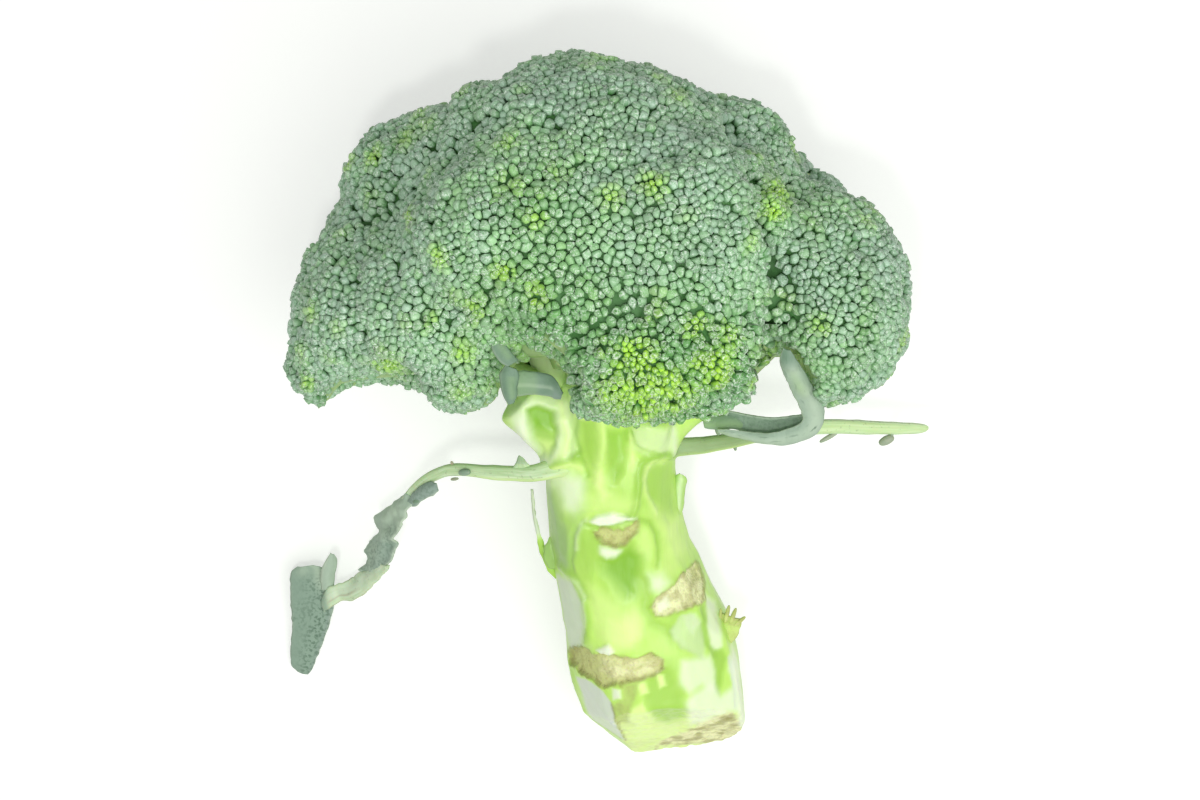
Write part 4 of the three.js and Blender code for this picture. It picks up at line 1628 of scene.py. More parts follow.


# The details' washes are partly the stalk's own colours and partly painted light: pale and yellow on ridges,
# ledges and bright spots are painted highlights; green and deep in grooves and hollows, and sage on the left
# flank, are painted shade.
DETAILS = (
    Area(((-12, -14), (15, -14), (24, -50), (-8, -50)), 4.0, 0, (("green", 0.3),)),
    Area(
        ((-24.7, 5.4), (-11.3, 7.5), (-7, 5.4), (-6.3, -8.6), (-12, -11.6), (-17.8, -10.8), (-20.9, -7)),
        1.8, 0, (("pale", 0.6),)
    ),
    Area(
        (
            (-18.7, 3.1), (-15.7, 4), (-12, 3), (-10.9, -0.9), (-11.4, -5.8), (-13.1, -9), (-15.7, -8.7),
            (-17.7, -5.2), (-18.6, -0.9)
        ),
        0.9, -1.7, (("green", 0.9),)
    ),
    Area(
        ((-18.5, 2.8), (-15.7, 3.9), (-12, 2.9), (-11.2, -2.3), (-17.5, -2.3)), 1.6, -0.3,
        (("deep", 0.85),)
    ),
    Area(((-16.6, -5.1), (-12.3, -5.5), (-13.4, -8.7), (-15.6, -8.4)), 1.4, 0, (("yellow", 0.7),)),
    Stroke(((-20.3, 0.5), (-19, -5.6), (-16.5, -10.1), (-13.3, -10.4)), 1.5, 0.4, (("pale", 0.8),)),
    Stroke(((-10.1, 4.7), (-9, -0.2), (-8.7, -5.8), (-10.6, -9.7)), 1.3, 0.4, (("yellow", 0.6),)),
    Stroke(((-9.1, 8.2), (-7.6, 1.9), (-7.3, -3.7), (-7.9, -7.6)), 0.5, -0.4, (("green", 0.35),)),
    Area(
        (
            (-15.7, -12.4), (-7.1, -11.9), (-3.9, -15), (-4.3, -22.2), (-7.1, -24), (-11.5, -21.7),
            (-14.8, -16.6)
        ),
        2.4, 0.3, (("pale", 0.5),)
    ),
    Area(
        ((-9.8, -14.4), (-5.3, -14.3), (-4.8, -19.3), (-7.1, -22.2), (-9.8, -18.7)), 1.8, 0,
        (("pale", 0.55),)
    ),
    Area(
        ((-14.1, -18.1), (-11, -16.8), (-9.4, -19.8), (-10.4, -23.1), (-12.6, -22.7)), 1.4, 0,
        (("green", 0.55),)
    ),
    Stroke(
        ((-22.3, -13.4), (-16.8, -12.3), (-11.7, -10.7), (-7.8, -9.2), (-5.8, -8.5)), 1.2, 1,
        (("green", 0.9),)
    ),
    Stroke(((-11.3, -11.5), (-7.8, -10.3), (-4.9, -11.6)), 0.9, 0.3, (("yellow", 0.7),)),
    Area(
        ((-6.2, 0.7), (-1.5, 1.3), (-0.6, -4.3), (0.3, -10.1), (-2.7, -11.8), (-4.9, -7.9)), 1.5, -0.8,
        (("green", 0.8),)
    ),
    Stroke(((-5.7, 1.4), (-3.5, 1.7), (-1.1, 1.4)), 0.7, 0.5, (("yellow", 0.7),)),
    Stroke(((-6.6, 0.7), (-6.7, -3), (-5.2, -8.6), (-3.4, -13.2)), 0.6, -0.5, (("deep", 0.45),)),
    Area(
        ((1.7, -1.5), (5.7, -2.3), (6.4, -7.9), (5.2, -12.8), (3.1, -15.3), (1.7, -12.8), (0.5, -7.8)),
        1.6, -0.9, (("green", 0.7), ("deep", 0.3))
    ),
    Stroke(((0.1, -0.1), (0.5, -4.3), (0, -9.3), (-0.7, -15)), 1.5, 0.5, (("yellow", 0.5),)),
    Area(
        ((-1.4, -12.2), (0.1, -11.8), (0.8, -16.4), (2.1, -18.5), (0, -20), (-1.4, -16.4)), 1.3, 0.3,
        (("yellow", 0.95),)
    ),
    Area(((6.8, -3), (8.3, -3.6), (8.6, -10), (7.9, -12.1), (7, -8.6)), 1.1, 0.3, (("yellow", 0.9),)),
    Area(
        ((7.6, -1.5), (11.1, 0), (16.8, -1.9), (18.1, -5.9), (16, -7.8), (11.2, -8.1), (8.7, -6.1)), 1.4,
        0.6, (("pale", 0.4),)
    ),
    Stroke(((7.4, -2.2), (8.5, -5.2), (11.2, -7.1), (15.7, -7.6)), 0.5, -0.4, (("green", 0.4),)),
    Stroke(((18, -1.6), (18.5, -7.7)), 1.2, 0.3, (("pale", 0.6),)),
    Area(
        (
            (11.3, -10.9), (18.3, -9.7), (18.9, -15.5), (19.4, -22.1), (17.4, -25.5), (14.2, -23),
            (11.4, -18), (10.6, -14.3)
        ),
        1.6, -0.5, (("green", 0.65),)
    ),
    Stroke(((14.2, -22.3), (17.2, -26.2), (19.1, -32.1)), 1.8, 0, (("yellow", 0.4),)),
    Stroke(
        (
            (18.4, -8.6), (14.8, -8.1), (11.9, -8.6), (9.9, -10.4), (9.3, -13.6), (9.1, -17.8),
            (8.7, -21.4), (7.6, -23.7)
        ),
        1, 1.1, (("green", 0.9), ("deep", 0.15))
    ),
    Stroke(
        ((15.8, -9.5), (12.8, -9.8), (11.2, -11.8), (10.6, -14.5), (11.1, -17.3), (14.1, -23)), 0.8, 0.4,
        (("yellow", 0.6),)
    ),
    Area(
        (
            (14.2, -25.9), (19.7, -23.6), (23.6, -32.8), (21.7, -38), (16.1, -41.8), (13.7, -37.4),
            (15.1, -31.7)
        ),
        2.6, 0, (("yellow", 0.45),)
    ),
    Area(
        (
            (-15.5, -15.5), (-12.5, -17.9), (-10.4, -24.6), (-6.8, -31.7), (-7.9, -39.6), (-10.9, -38.3),
            (-13.7, -32.5), (-14.9, -24.3)
        ),
        1.8, 0, (("sage", 0.9),)
    ),
    Area(
        ((-3.5, -18.6), (1.4, -17.8), (8.4, -20), (7.1, -22.9), (1.4, -22.9), (-2.9, -23.6)), 2.2, 0,
        (("yellow", 0.55),)
    ),
    Area(
        ((-6.1, -27.3), (-2, -27.2), (0.1, -31.5), (-0.6, -37.4), (-4.7, -38.2), (-6.8, -33.2)), 1.8,
        -0.3, (("green", 0.6),)
    ),
    Area(
        ((-9.9, -23.8), (-5, -22.9), (-5, -27.3), (-7.1, -28.8), (-7.9, -37.7), (-9.9, -32)), 1.8, 0,
        (("green", 0.35), ("sage", 0.3))
    ),
    Stroke(
        (
            (-4.7, -25.4), (-6.1, -26.7), (-7.1, -29.1), (-7.4, -32.1), (-7.9, -35.4), (-7.3, -38.7),
            (-5.6, -41.6), (-4, -44.9)
        ),
        0.7, -0.6, (("green", 0.8), ("sage", 0.3))
    ),
    Stroke(((-3.7, -24.9), (-5.4, -26.4), (-6.2, -28.7), (-6.5, -32.4)), 0.7, 0.3, (("pale", 0.3),)),
    Stroke(
        ((9.2, -24.7), (12.6, -25.4), (14.4, -28.4), (15.1, -32.8), (14.6, -36.7)), 0.8, -0.5,
        (("green", 0.8),)
    ),
    Area(
        ((9.9, -26.5), (12.4, -27.6), (13.2, -31.6), (12, -35.2), (9.6, -34.4), (9.2, -30.1)), 1.6, 0,
        (("yellow", 0.5),)
    ),
    Area(
        (
            (0, -35.5), (2.8, -34.4), (7.4, -31.5), (10.5, -34.4), (10, -40.3), (8.4, -44.3), (6.4, -45),
            (3.7, -41.7), (0.8, -38.8)
        ),
        2.4, -0.9, (("deep", 0.95),)
    ),
    Area(
        (
            (-2.7, -25.2), (-0.7, -23.6), (2.8, -22.7), (7.4, -23.7), (8.8, -24.7), (4.9, -25.9),
            (0, -26.6)
        ),
        0.6, 1, (("pale", 1),)
    ),
    Stroke(((-4.3, -26), (0, -26.9), (3.7, -26), (7.9, -24.9)), 0.5, -0.5, (("green", 0.8),)),
    Area(
        (
            (-1.6, -28.1), (1.3, -26.9), (5.7, -27.3), (7.9, -25.9), (9.3, -25.3), (8.9, -28),
            (6.5, -30.9), (3.7, -32), (0.6, -30.5)
        ),
        0.25, -0.9, (("scar", 0.95),), 0.8
    ),
    Stroke(((-1.1, -29.2), (0.3, -30.7), (3.5, -31.9), (6, -31.2)), 0.5, 0.2, (("rim", 0.5),)),
    Area(
        ((-0.4, -31.5), (2.8, -32.5), (5.2, -32.8), (3.7, -34.6), (1.4, -35), (-0.2, -33.7)), 0.9, 0.3,
        (("pale", 0.9),)
    ),
    Area(
        (
            (-3.2, -41.8), (1.4, -44.6), (5.7, -47.5), (10.4, -46.8), (11.6, -50.5), (10, -56.4),
            (5, -59), (0, -56.6), (-3, -51.5)
        ),
        2.6, 0, (("yellow", 0.55),)
    ),
    Area(
        ((2.1, -51.3), (8.6, -50.5), (10, -54.9), (7.2, -58.6), (2.1, -58)), 2.2, 0.3, (("yellow", 0.95),)
    ),
    Area(
        ((12.1, -39.6), (15.7, -38.9), (17.5, -41.2), (15.7, -43.6), (12.5, -43.2)), 2, 0.3,
        (("pale", 0.7),)
    ),
    Stroke(((11.1, -41), (11.4, -47.7), (13.5, -51.9), (18, -54.2)), 1.6, -0.5, (("green", 0.7),)),
    Area(
        ((17.2, -48.4), (21.6, -48.6), (20.1, -51.5), (18.7, -58.7), (17.3, -56.5)), 1.6, 0,
        (("green", 0.5),)
    ),
    Area(
        (
            (-13.6, -39.7), (-7.2, -41.4), (-4.9, -46.4), (-4.5, -53.3), (-5.1, -59.2), (-8.6, -61.2),
            (-10.7, -54.5), (-12.5, -47.5)
        ),
        1.3, -0.3, (("frost", 0.85),)
    ),
    Stroke(
        ((-10.9, -37.4), (-7.2, -39.7), (-4.8, -43.3), (-3.6, -47.8), (-3.3, -53.1), (-3.8, -57.5)), 1,
        0.7, (("green", 0.85),)
    ),
    Stroke(((-10, -38.2), (-5.9, -41.4), (-4.2, -44.9), (-4, -53.2)), 0.5, 0.3, (("pale", 0.35),)),
    Area(
        (
            (24.8, -36.7), (26.2, -38.8), (27, -43), (26.8, -47.2), (24.6, -47.5), (20.9, -48.6),
            (17.2, -49.7), (14.3, -50), (13.1, -48.3), (14.2, -45.4), (17.9, -42.5), (21.6, -39.3)
        ),
        0.25, -0.4, (("cut", 0.95),), 0.75
    ),
    Area(((23.4, -38.2), (25.6, -37.8), (26.2, -41.2), (24.3, -41.8)), 0.5, -0.3, (("scar", 0.8),)),
    Area(((14, -46.9), (17.2, -44.8), (17.9, -47.7), (15, -49.1)), 0.7, 0, (("pale", 0.7),)),
    Stroke(((21.6, -39.9), (23.3, -42.3), (23.7, -46)), 0.5, 0.2, (("rim", 0.35),)),
    Area(
        (
            (18.1, -54.3), (20.7, -50.2), (24.4, -49.6), (26.7, -52.6), (27.8, -57.2), (26.3, -61.8),
            (23.3, -59.8), (20.9, -58.9), (19, -56.7)
        ),
        0.7, -0.4, (("pale", 0.4), ("sage", 0.25))
    ),
    Area(
        ((21.6, -50.4), (24.4, -49.7), (26.1, -52.6), (24.2, -55.4), (22, -53.7)), 0.8, 0,
        (("pale", 0.35),)
    ),
    Area(
        (
            (27.4, -45.5), (30.5, -47.9), (31.8, -52.8), (32.1, -59.2), (30.9, -60.7), (28.9, -59.6),
            (27.9, -53.5)
        ),
        0.7, -0.4, (("pale", 0.75),)
    ),
    Stroke(
        ((26.5, -48.7), (27.3, -53.4), (28.1, -58.7), (30.3, -61.1)), 0.9, -0.4,
        (("green", 0.9), ("sage", 0.1))
    ),
    Area(
        (
            (29.2, -61), (32.1, -59.6), (33.3, -62.2), (32.1, -66.5), (31.3, -72.1), (29.7, -70.9),
            (29.5, -65.5)
        ),
        0.8, -0.2, (("green", 0.85),)
    ),
    Area(
        (
            (20.9, -62.1), (28.4, -61.3), (29.7, -65.5), (29.5, -70.7), (26.2, -69), (23.2, -71),
            (20.3, -68.6)
        ),
        1.2, 0.2, (("pale", 0.7),)
    ),
    Area(
        (
            (24.3, -71), (29.2, -68.5), (31.7, -72.5), (36.4, -69.6), (38, -77.7), (33.3, -76.8),
            (28.7, -79.5), (24, -81.6), (21.8, -73.8)
        ),
        1.3, 0.2, (("pale", 0.75),)
    ),
    Area(
        (
            (34.7, -59.5), (37.5, -66.6), (39.4, -77.4), (39.9, -86.2), (37.6, -82.5), (36.3, -73),
            (33.7, -65.2)
        ),
        1, 0, (("pale", 0.95),)
    ),
    Stroke(((34, -62.3), (35.4, -69.1), (36, -76)), 0.6, -0.3, (("frost", 0.6),)),
    Area(
        (
            (11.5, -66.7), (17.4, -63.9), (20.4, -67.7), (21.9, -71.5), (22.4, -79.1), (17.9, -81.2),
            (13.2, -78.5), (11.2, -72)
        ),
        1.8, -0.4, (("green", 0.8),)
    ),
    Area(
        ((15.8, -60.9), (18.7, -60.9), (20.2, -64.7), (18.1, -68.4), (15.9, -66.8)), 1.6, 0,
        (("green", 0.5),)
    ),
    Area(
        ((7.8, -75.2), (10.5, -73.4), (14.1, -78.5), (13, -85.1), (9.8, -83.6), (7.3, -78.1)), 0.8, 0.2,
        (("yellow", 1),)
    ),
    Area(((14.3, -65.6), (16.3, -65.9), (16.8, -68.5), (15.2, -69.3)), 0.7, 0.1, (("yellow", 1),)),
    Area(((9.2, -68.1), (11.2, -67.5), (12.4, -70.5), (10.1, -71.1)), 0.7, 0.1, (("yellow", 0.95),)),
    Area(
        ((7.5, -82.9), (18, -81.8), (23.9, -80.6), (19.1, -86.8), (15.6, -92.3), (10.9, -92)), 1.4, 0,
        (("yellow", 0.8),)
    ),
    Area(
        (
            (-8.7, -60.7), (-4.4, -59.1), (-2, -60.7), (1.4, -59.9), (5, -60.9), (8.8, -61.5),
            (13.1, -60), (16, -62), (16.3, -64), (13.8, -66), (10.2, -66.7), (7.2, -67.5), (5.1, -68.5),
            (3, -68.5), (0.7, -69.7), (-2.2, -67.9), (-5.3, -66.9), (-8.2, -64.6)
        ),
        0.2, -1, (("scar", 0.95),), 0.95
    ),
    Area(
        (
            (0, -61.6), (8.8, -61.7), (15.3, -61.6), (14.8, -64.7), (10.2, -66.1), (2.9, -67),
            (-0.7, -65.1)
        ),
        1.2, 0.5, (("cut", 0.8),)
    ),
    Stroke(((-0.4, -64.3), (3.6, -62.8), (8.6, -64.5), (11.5, -63)), 0.6, 0.3, (("scar", 0.6),)),
    Area(((-1, -59.2), (2, -57.8), (3.7, -59.4), (1.4, -60.8)), 0.5, 0.6, (("pale", 1),)),
    Area(
        (
            (5.1, -69), (9.5, -67.5), (8.8, -71.3), (7.7, -74.4), (6.8, -81), (4.1, -80.8), (2.9, -75),
            (5.6, -72.2)
        ),
        0.7, -0.4, (("scar", 0.6), ("deep", 0.3))
    ),
    Area(((2.9, -69.7), (4.8, -69.7), (5.1, -72.2), (3.3, -72.6)), 0.5, 0, (("pale", 0.9),)),
    Area(
        (
            (-6.9, -68.4), (-4.4, -68.3), (0, -70.4), (2.9, -74), (3.5, -80.2), (6.3, -87.4),
            (2.3, -87.3), (-2.3, -83.3), (-4.7, -74.9)
        ),
        0.4, -0.3, (("frost", 1),)
    ),
    Stroke(((2.9, -74), (3.4, -78.4), (7, -88.1)), 0.4, 0.2, (("rim", 0.6),)),
    Stroke(
        ((-8.2, -65.5), (-6.9, -72.9), (-3.9, -81.2), (-2.1, -84.6), (7.7, -89.8)), 0.6, 0.2,
        (("green", 0.5),)
    )
)
CUT_OUTLINE = (
    (14.9, -92.5), (19.1, -86.4), (24.9, -83.1), (29.7, -78.6), (33.9, -76.9), (37.4, -81.2),
    (40.5, -86.9), (34.5, -89.9), (27.6, -90.8), (15.2, -91.1)
)


@dataclass
class Washes:
    """How much of each layer of the stalk's skin shows at each point.

    Attributes:
        shares: A weight for each point, by layer; what is left over is plain flesh.
    """

    shares: dict[str, Array]

    def add(self, name: str, weight: Array) -> None:
        """Lays one layer over all that are there."""
        for rows in self.shares.values():
            rows *= 1 - weight
        self.shares[name] += weight

    def factors(self) -> dict[str, Array]:
        """The mix factor of each layer when they are mixed one after another."""
        left = 1.0
        factors = {}
        for name, rows in reversed(self.shares.items()):
            factors[name] = np.clip(rows / np.maximum(left, 1e-4), 0, 1)
            left = left - rows
        return factors


@dataclass
class Stalk:
    """The main stalk with all its branches, as one continuous skin.

    Attributes:
        voxel: The size of the blocks that the stalk and branches are merged in.
        swell: How far each piece grows first, so that the gaps between them close.
        web_line: The place along the stalk from which the crotches are smoothed more.
        cut_facing: The direction that faces out of the cut end.
        rounds: How many rounds smooth the stalk.
        web_rounds: How many more smooth the crotches.
        detail_floor: The height above which it has its painted details.
    """

    voxel: float = 0.58 * MM
    swell: float = 0.45 * MM
    web_line: float = -26 * MM
    cut_facing: tuple[float, float, float] = (0.1, -0.92, 0.37)
    rounds: int = 4
    web_rounds: int = 22
    detail_floor: float = 18 * MM

    def softened(self, mesh: Mesh) -> Array:
        """Smooths the skin: a little on the stalk, more in the crotches of the branches."""
        places = read_places(mesh)
        web = eased(self.web_line, self.web_line + 12 * MM, places[:, 1])[:, None]
        return relaxed(mesh, places, [0.5] * self.rounds + [0.5 * web] * self.web_rounds)

    def dress(self, piece: Object) -> None:
        """Raises the ridges, sinks the scars, paints sheen on the sides and stores every layer's weight."""
        mesh = piece.data
        places = self.softened(mesh)
        facing = place_points(mesh, places)
        plan = places[:, :2] / MM
        upper = eased(0.0, 0.3, facing[:, 2]) * (places[:, 2] > self.detail_floor)
        wobble = drift(places, 3 * MM, 31)
        fine = drift(places, 1.1 * MM, 33)
        lift = 0.3 * noise(places, 9 * MM, 21) + 0.12 * noise(places, 2.5 * MM, 22)
        washes = Washes({name: np.zeros(len(places)) for name, _ in StalkSkin("").layers})
        # painted sheen: the sides and the underside go pale grey-white by which way they face
        washes.add("frost", 0.65 * eased(0.3, -0.25, facing[:, 2]))
        twigs = eased(2 * MM, 14 * MM, places[:, 1])
        washes.add("pale", 0.7 * twigs * (0.75 + 0.25 * noise(places, 5 * MM, 23)))
        self.cut(places, facing, washes, lift)
        # each detail's washes paint the stalk's own colours, painted highlights and painted shade
        for detail in DETAILS:
            torn = 0.45 if detail.rim else 0.12
            inside, edge = detail.cover(plan + 0.3 * wobble + torn * fine)
            lift += detail.rise * inside * upper
            for name, share in detail.washes:
                washes.add(name, share * inside * upper)
            if detail.rim:
                washes.add("rim", edge * upper * detail.rim * (0.6 + 0.4 * fine[:, 0]))
                lift += 0.3 * edge * upper
        ground = eased(1.5, 5.0, places[:, 2] / MM)
        places = places + facing * (lift * ground * MM)[:, None]
        places[:, 2] = np.maximum(places[:, 2], 0.0)
        place_points(mesh, places)
        write_values(mesh, washes.factors())

    def cut(self, places: Array, facing: Array, washes: Washes, lift: Array) -> None:
        """Paints and roughens the cut end: cream flesh, dry and brown to one side, with a ring of fibres."""
        outward = unit(np.array(self.cut_facing))
        face = (facing @ outward > 0.93) & (places[:, 1] < -78 * MM)
        middle = places[face].mean(axis=0)
        level = np.quantile((places[face] - middle) @ outward, 0.5)
        close = eased(1.4 * MM, 0.5 * MM, np.abs((places - middle) @ outward - level))
        close = close * eased(0.75, 0.92, facing @ outward) * (places[:, 1] < -76 * MM)
        offset = places - middle
        offset = offset - (offset @ outward)[:, None] * outward
        reach = np.quantile(np.linalg.norm(offset[face], axis=1), 0.97)
        radius = np.linalg.norm(offset, axis=1) / reach
        ring = np.exp(-(((radius - 0.76) / 0.06) ** 2))
        angle = np.arctan2(offset[:, 2], offset[:, 0])
        fibres = 0.5 + 0.5 * np.cos(angle * 34 + 3 * noise(places, 4 * MM, 41))
        plan = places[:, :2] / MM + 0.8 * drift(places, 3 * MM, 43)
        dry = eased(-0.8, 0.8, inside_depth(plan, np.array(CUT_OUTLINE)))
        washes.add("yellow", 0.85 * close)
        washes.add("cut", close * (0.15 + 0.8 * dry))
        crust = eased(-0.1, 0.5, noise(places, 3 * MM, 45))
        brown = 0.3 * ring * fibres + 0.25 * (radius > 0.92) + 0.6 * crust
        washes.add("rim", close * np.clip(brown, 0, 0.8) * (0.15 + 0.85 * dry))
        lift += close * 0.35 * noise(places, 1.4 * MM, 42)

    def build(self) -> None:
        """Builds and hands over the stalk."""
        nodes = ["main_stalk"] + sorted(n for n in frame["nodes"] if n.startswith("branch_"))
        piece = fused("stalk", [Skin.of(name) for name in nodes], self.swell, self.voxel)
        self.dress(piece)
        hand_over(piece, nodes, StalkSkin("fresh_cut_stalk_flesh").material())


# ---------------------------------------------------------------- leaves


FADE = 0.12  # the share of a leaf piece's length over which a wash comes and goes


@dataclass(frozen=True)
class Tint:
    """A wash on part of a leaf piece.

    Attributes:
        name: The weight of the skin that it feeds.
        most: Its weight where it is strongest.
        at: Where it is strongest: an angle round a stalk, or from -1 to 1 across a sheet.
        spread: How far it reaches to either side of that.
        start: The share of the piece's length from which it grows.
        end: The share of the piece's length at which it has faded again.
        broken: How patchy it is, from 0 to 1.
    """

    name: str
    most: float
    at: float = 0.0
    spread: float = 9.0
    start: float = -1.0
    end: float = 2.0
    broken: float = 0.0

    def weight(self, across: Array, along: Array, places: Array) -> Array:
        """Its weight on every point of a piece.

        Args:
            across: The points' angles, or their shares across.
            along: The points' shares of the piece's length.
            places: The points themselves.

        Returns:
            One weight a point.
        """
        off = (across - self.at + math.pi) % math.tau - math.pi
        near = np.exp(-((off / self.spread) ** 2))
        near = near * eased(self.start, self.start + FADE, along)
        near = near * (1 - eased(self.end - FADE, self.end, along))
        patchy = np.clip(0.5 + 0.9 * noise(places, 4 * MM, 71), 0, 1)
        return self.most * near * (1 - self.broken * patchy)


@dataclass
class LeafPart:
    """A piece made along a line: rows of numbers in millimetres, and the washes on it."""

    name: str
    rows: tuple[tuple[float, ...], ...]
    tints: tuple[Tint, ...] = ()
    steps: int = 60

    def painted(self, places: Array, faces: list, across: Array, along: Array) -> Mesh:
        """Makes the mesh with the weight of every wash, and the ways along and across it.

        Args:
            places: The points, the same number at every step; any others come after them.
            faces: The faces.
            across: The points' angles, or their shares across.
            along: The points' shares of the piece's length.

        Returns:
            The mesh.
        """
        mesh = new_mesh(self.name, places, faces)
        length = np.linalg.norm(np.diff(np.array(self.rows)[:, :3], axis=0), axis=1).sum() * MM
        values = {"run": along * length, "reach": across * 2 * MM}
        for tint in self.tints:
            weight = tint.weight(across, along, places)
            values[tint.name] = np.maximum(values.get(tint.name, 0.0), weight)
        write_values(mesh, values)
        return mesh


@dataclass
class LeafStalk(LeafPart):
    """A leaf's stalk: a closed tube, its rows (x, y, z, width, thickness).

    Attributes:
        channel: How deep the channel on its upper side is, as a share of its thickness.
        sides: How many faces go round it.
    """

    channel: float = 0.12
    sides: int = 18

    def piece(self) -> Object:
        """Puts the tube in the scene."""
        rows = smooth_line(np.array(self.rows), self.steps)
        middle = rows[:, :3] * MM
        width, thick = (np.maximum(rows[:, 3:5], 0.2) * MM).T
        ahead = unit(np.gradient(middle, axis=0))
        side = unit(np.cross(ahead, [0.0, 0.0, 1.0]))
        over = np.cross(side, ahead)
        angles = math.tau * np.arange(self.sides) / self.sides
        relief = 1 - self.channel * np.exp(-(((angles - math.pi / 2) / 0.5) ** 2))
        flat = np.cos(angles)[None, :, None] * (side * width[:, None] / 2)[:, None, :]
        deep = (np.sin(angles) * relief)[None, :, None] * (over * thick[:, None] / 2)[:, None, :]
        places = (middle[:, None, :] + flat + deep).reshape(-1, 3)
        places += (0.16 * MM * noise(places, 2.5 * MM, 51))[:, None] * [0.4, 0.8, 0.6]
        faces = []
        for step, turn in itertools.product(range(self.steps - 1), range(self.sides)):
            low, after = step * self.sides, (turn + 1) % self.sides
            high = low + self.sides
            faces.append((low + turn, high + turn, high + after, low + after))
        last, count = (self.steps - 1) * self.sides, len(places)
        for turn in range(self.sides):
            after = (turn + 1) % self.sides
            faces += [(turn, after, count), (last + after, last + turn, count + 1)]
        across = np.append(np.tile(angles, self.steps), [0.0, 0.0])
        along = np.append(np.repeat(np.linspace(0, 1, self.steps), self.sides), [0.0, 1.0])
        places = np.vstack([places, middle[0], middle[-1]])
        return place_object(self.name, self.painted(places, faces, across, along))


@dataclass
class LeafSheet(LeafPart):
    """A thin sheet between two edges: its rows (left edge's x, y, z, right edge's x, y, z, belly).

    Attributes:
        ruffle: How far its edges wave up and down, in millimetres.
        ragged: How far its edges are torn, in millimetres.
        crumple: How far the whole of it is creased, in millimetres.
        thickness: How thick it is, in millimetres.
        columns: How many points lie across it.
        seed: What its waves and tears are drawn from.
    """

    ruffle: float = 0.4
    ragged: float = 0.2
    crumple: float = 0.2
    thickness: float = 0.5
    columns: int = 13
    seed: int = 60

    def piece(self) -> Object:
        """Puts the sheet in the scene and gives it its thickness."""
        rows = smooth_line(np.array(self.rows), self.steps)
        left, right = rows[:, :3], rows[:, 3:6]
        middle, half = (left + right) / 2, (right - left) / 2
        ahead = unit(np.gradient(middle, axis=0))
        over = unit(np.cross(half, ahead))
        over *= math.copysign(1, over[:, 2].sum())
        shares = np.linspace(-1, 1, self.columns)
        travel = np.append(0, np.cumsum(np.linalg.norm(np.diff(middle, axis=0), axis=1)))
        apart = 9 * np.sign(shares)[None, :]
        edge = np.stack(np.broadcast_arrays(travel[:, None], apart, 0.0), -1).reshape(-1, 3)
        tear = noise(edge, 1.3, self.seed).reshape(self.steps, self.columns)
        wave = noise(edge, 3.2, self.seed + 1).reshape(self.steps, self.columns)
        across = np.broadcast_to(shares, tear.shape)
        lift = rows[:, 6:7] * (1 - across**2) + self.ruffle * np.abs(across) ** 1.6 * wave
        flat = middle[:, None, :] + half[:, None, :] * across[:, :, None]
        lift += self.crumple * noise(flat.reshape(-1, 3), 2.2, self.seed + 2).reshape(tear.shape)
        out = self.ragged * across**3 * (0.4 + tear)
        places = flat + unit(half)[:, None, :] * out[:, :, None] + over[:, None, :] * lift[:, :, None]
        places = places.reshape(-1, 3) * MM
        places[:, 2] = np.maximum(places[:, 2], 0.7 * self.thickness * MM)
        faces = [
            (low, low + self.columns, low + self.columns + 1, low + 1)
            for low in (s * self.columns + c for s in range(self.steps - 1) for c in range(self.columns - 1))
        ]
        along = np.repeat(np.linspace(0, 1, self.steps), self.columns)
        piece = place_object(self.name, self.painted(places, faces, across.reshape(-1), along))
        wall = piece.modifiers.new("thickness", "SOLIDIFY")
        wall.thickness = self.thickness * MM
        wall.offset = 0.0
        return settle(piece)


def bead(name: str, start: tuple, end: tuple, width: float, tints: tuple[Tint, ...]) -> LeafStalk:
    """A small closed bit, rounded at both ends.

    Args:
        name: The piece's name.
        start: Its one end, in millimetres.
        end: Its other end.
        width: Its width in millimetres.
        tints: The washes on it.

    Returns:
        The bit, as a very short stalk.
    """
    rows = []
    for share, size in ((0.0, 0.35), (0.12, 0.75), (0.5, 1.0), (0.88, 0.7), (1.0, 0.3)):
        place = tuple(a + share * (b - a) for a, b in zip(start, end))
        rows.append((*place, size * width, size * width * 0.9))
    return LeafStalk(name, tuple(rows), tints, steps=14, channel=0.0, sides=12)


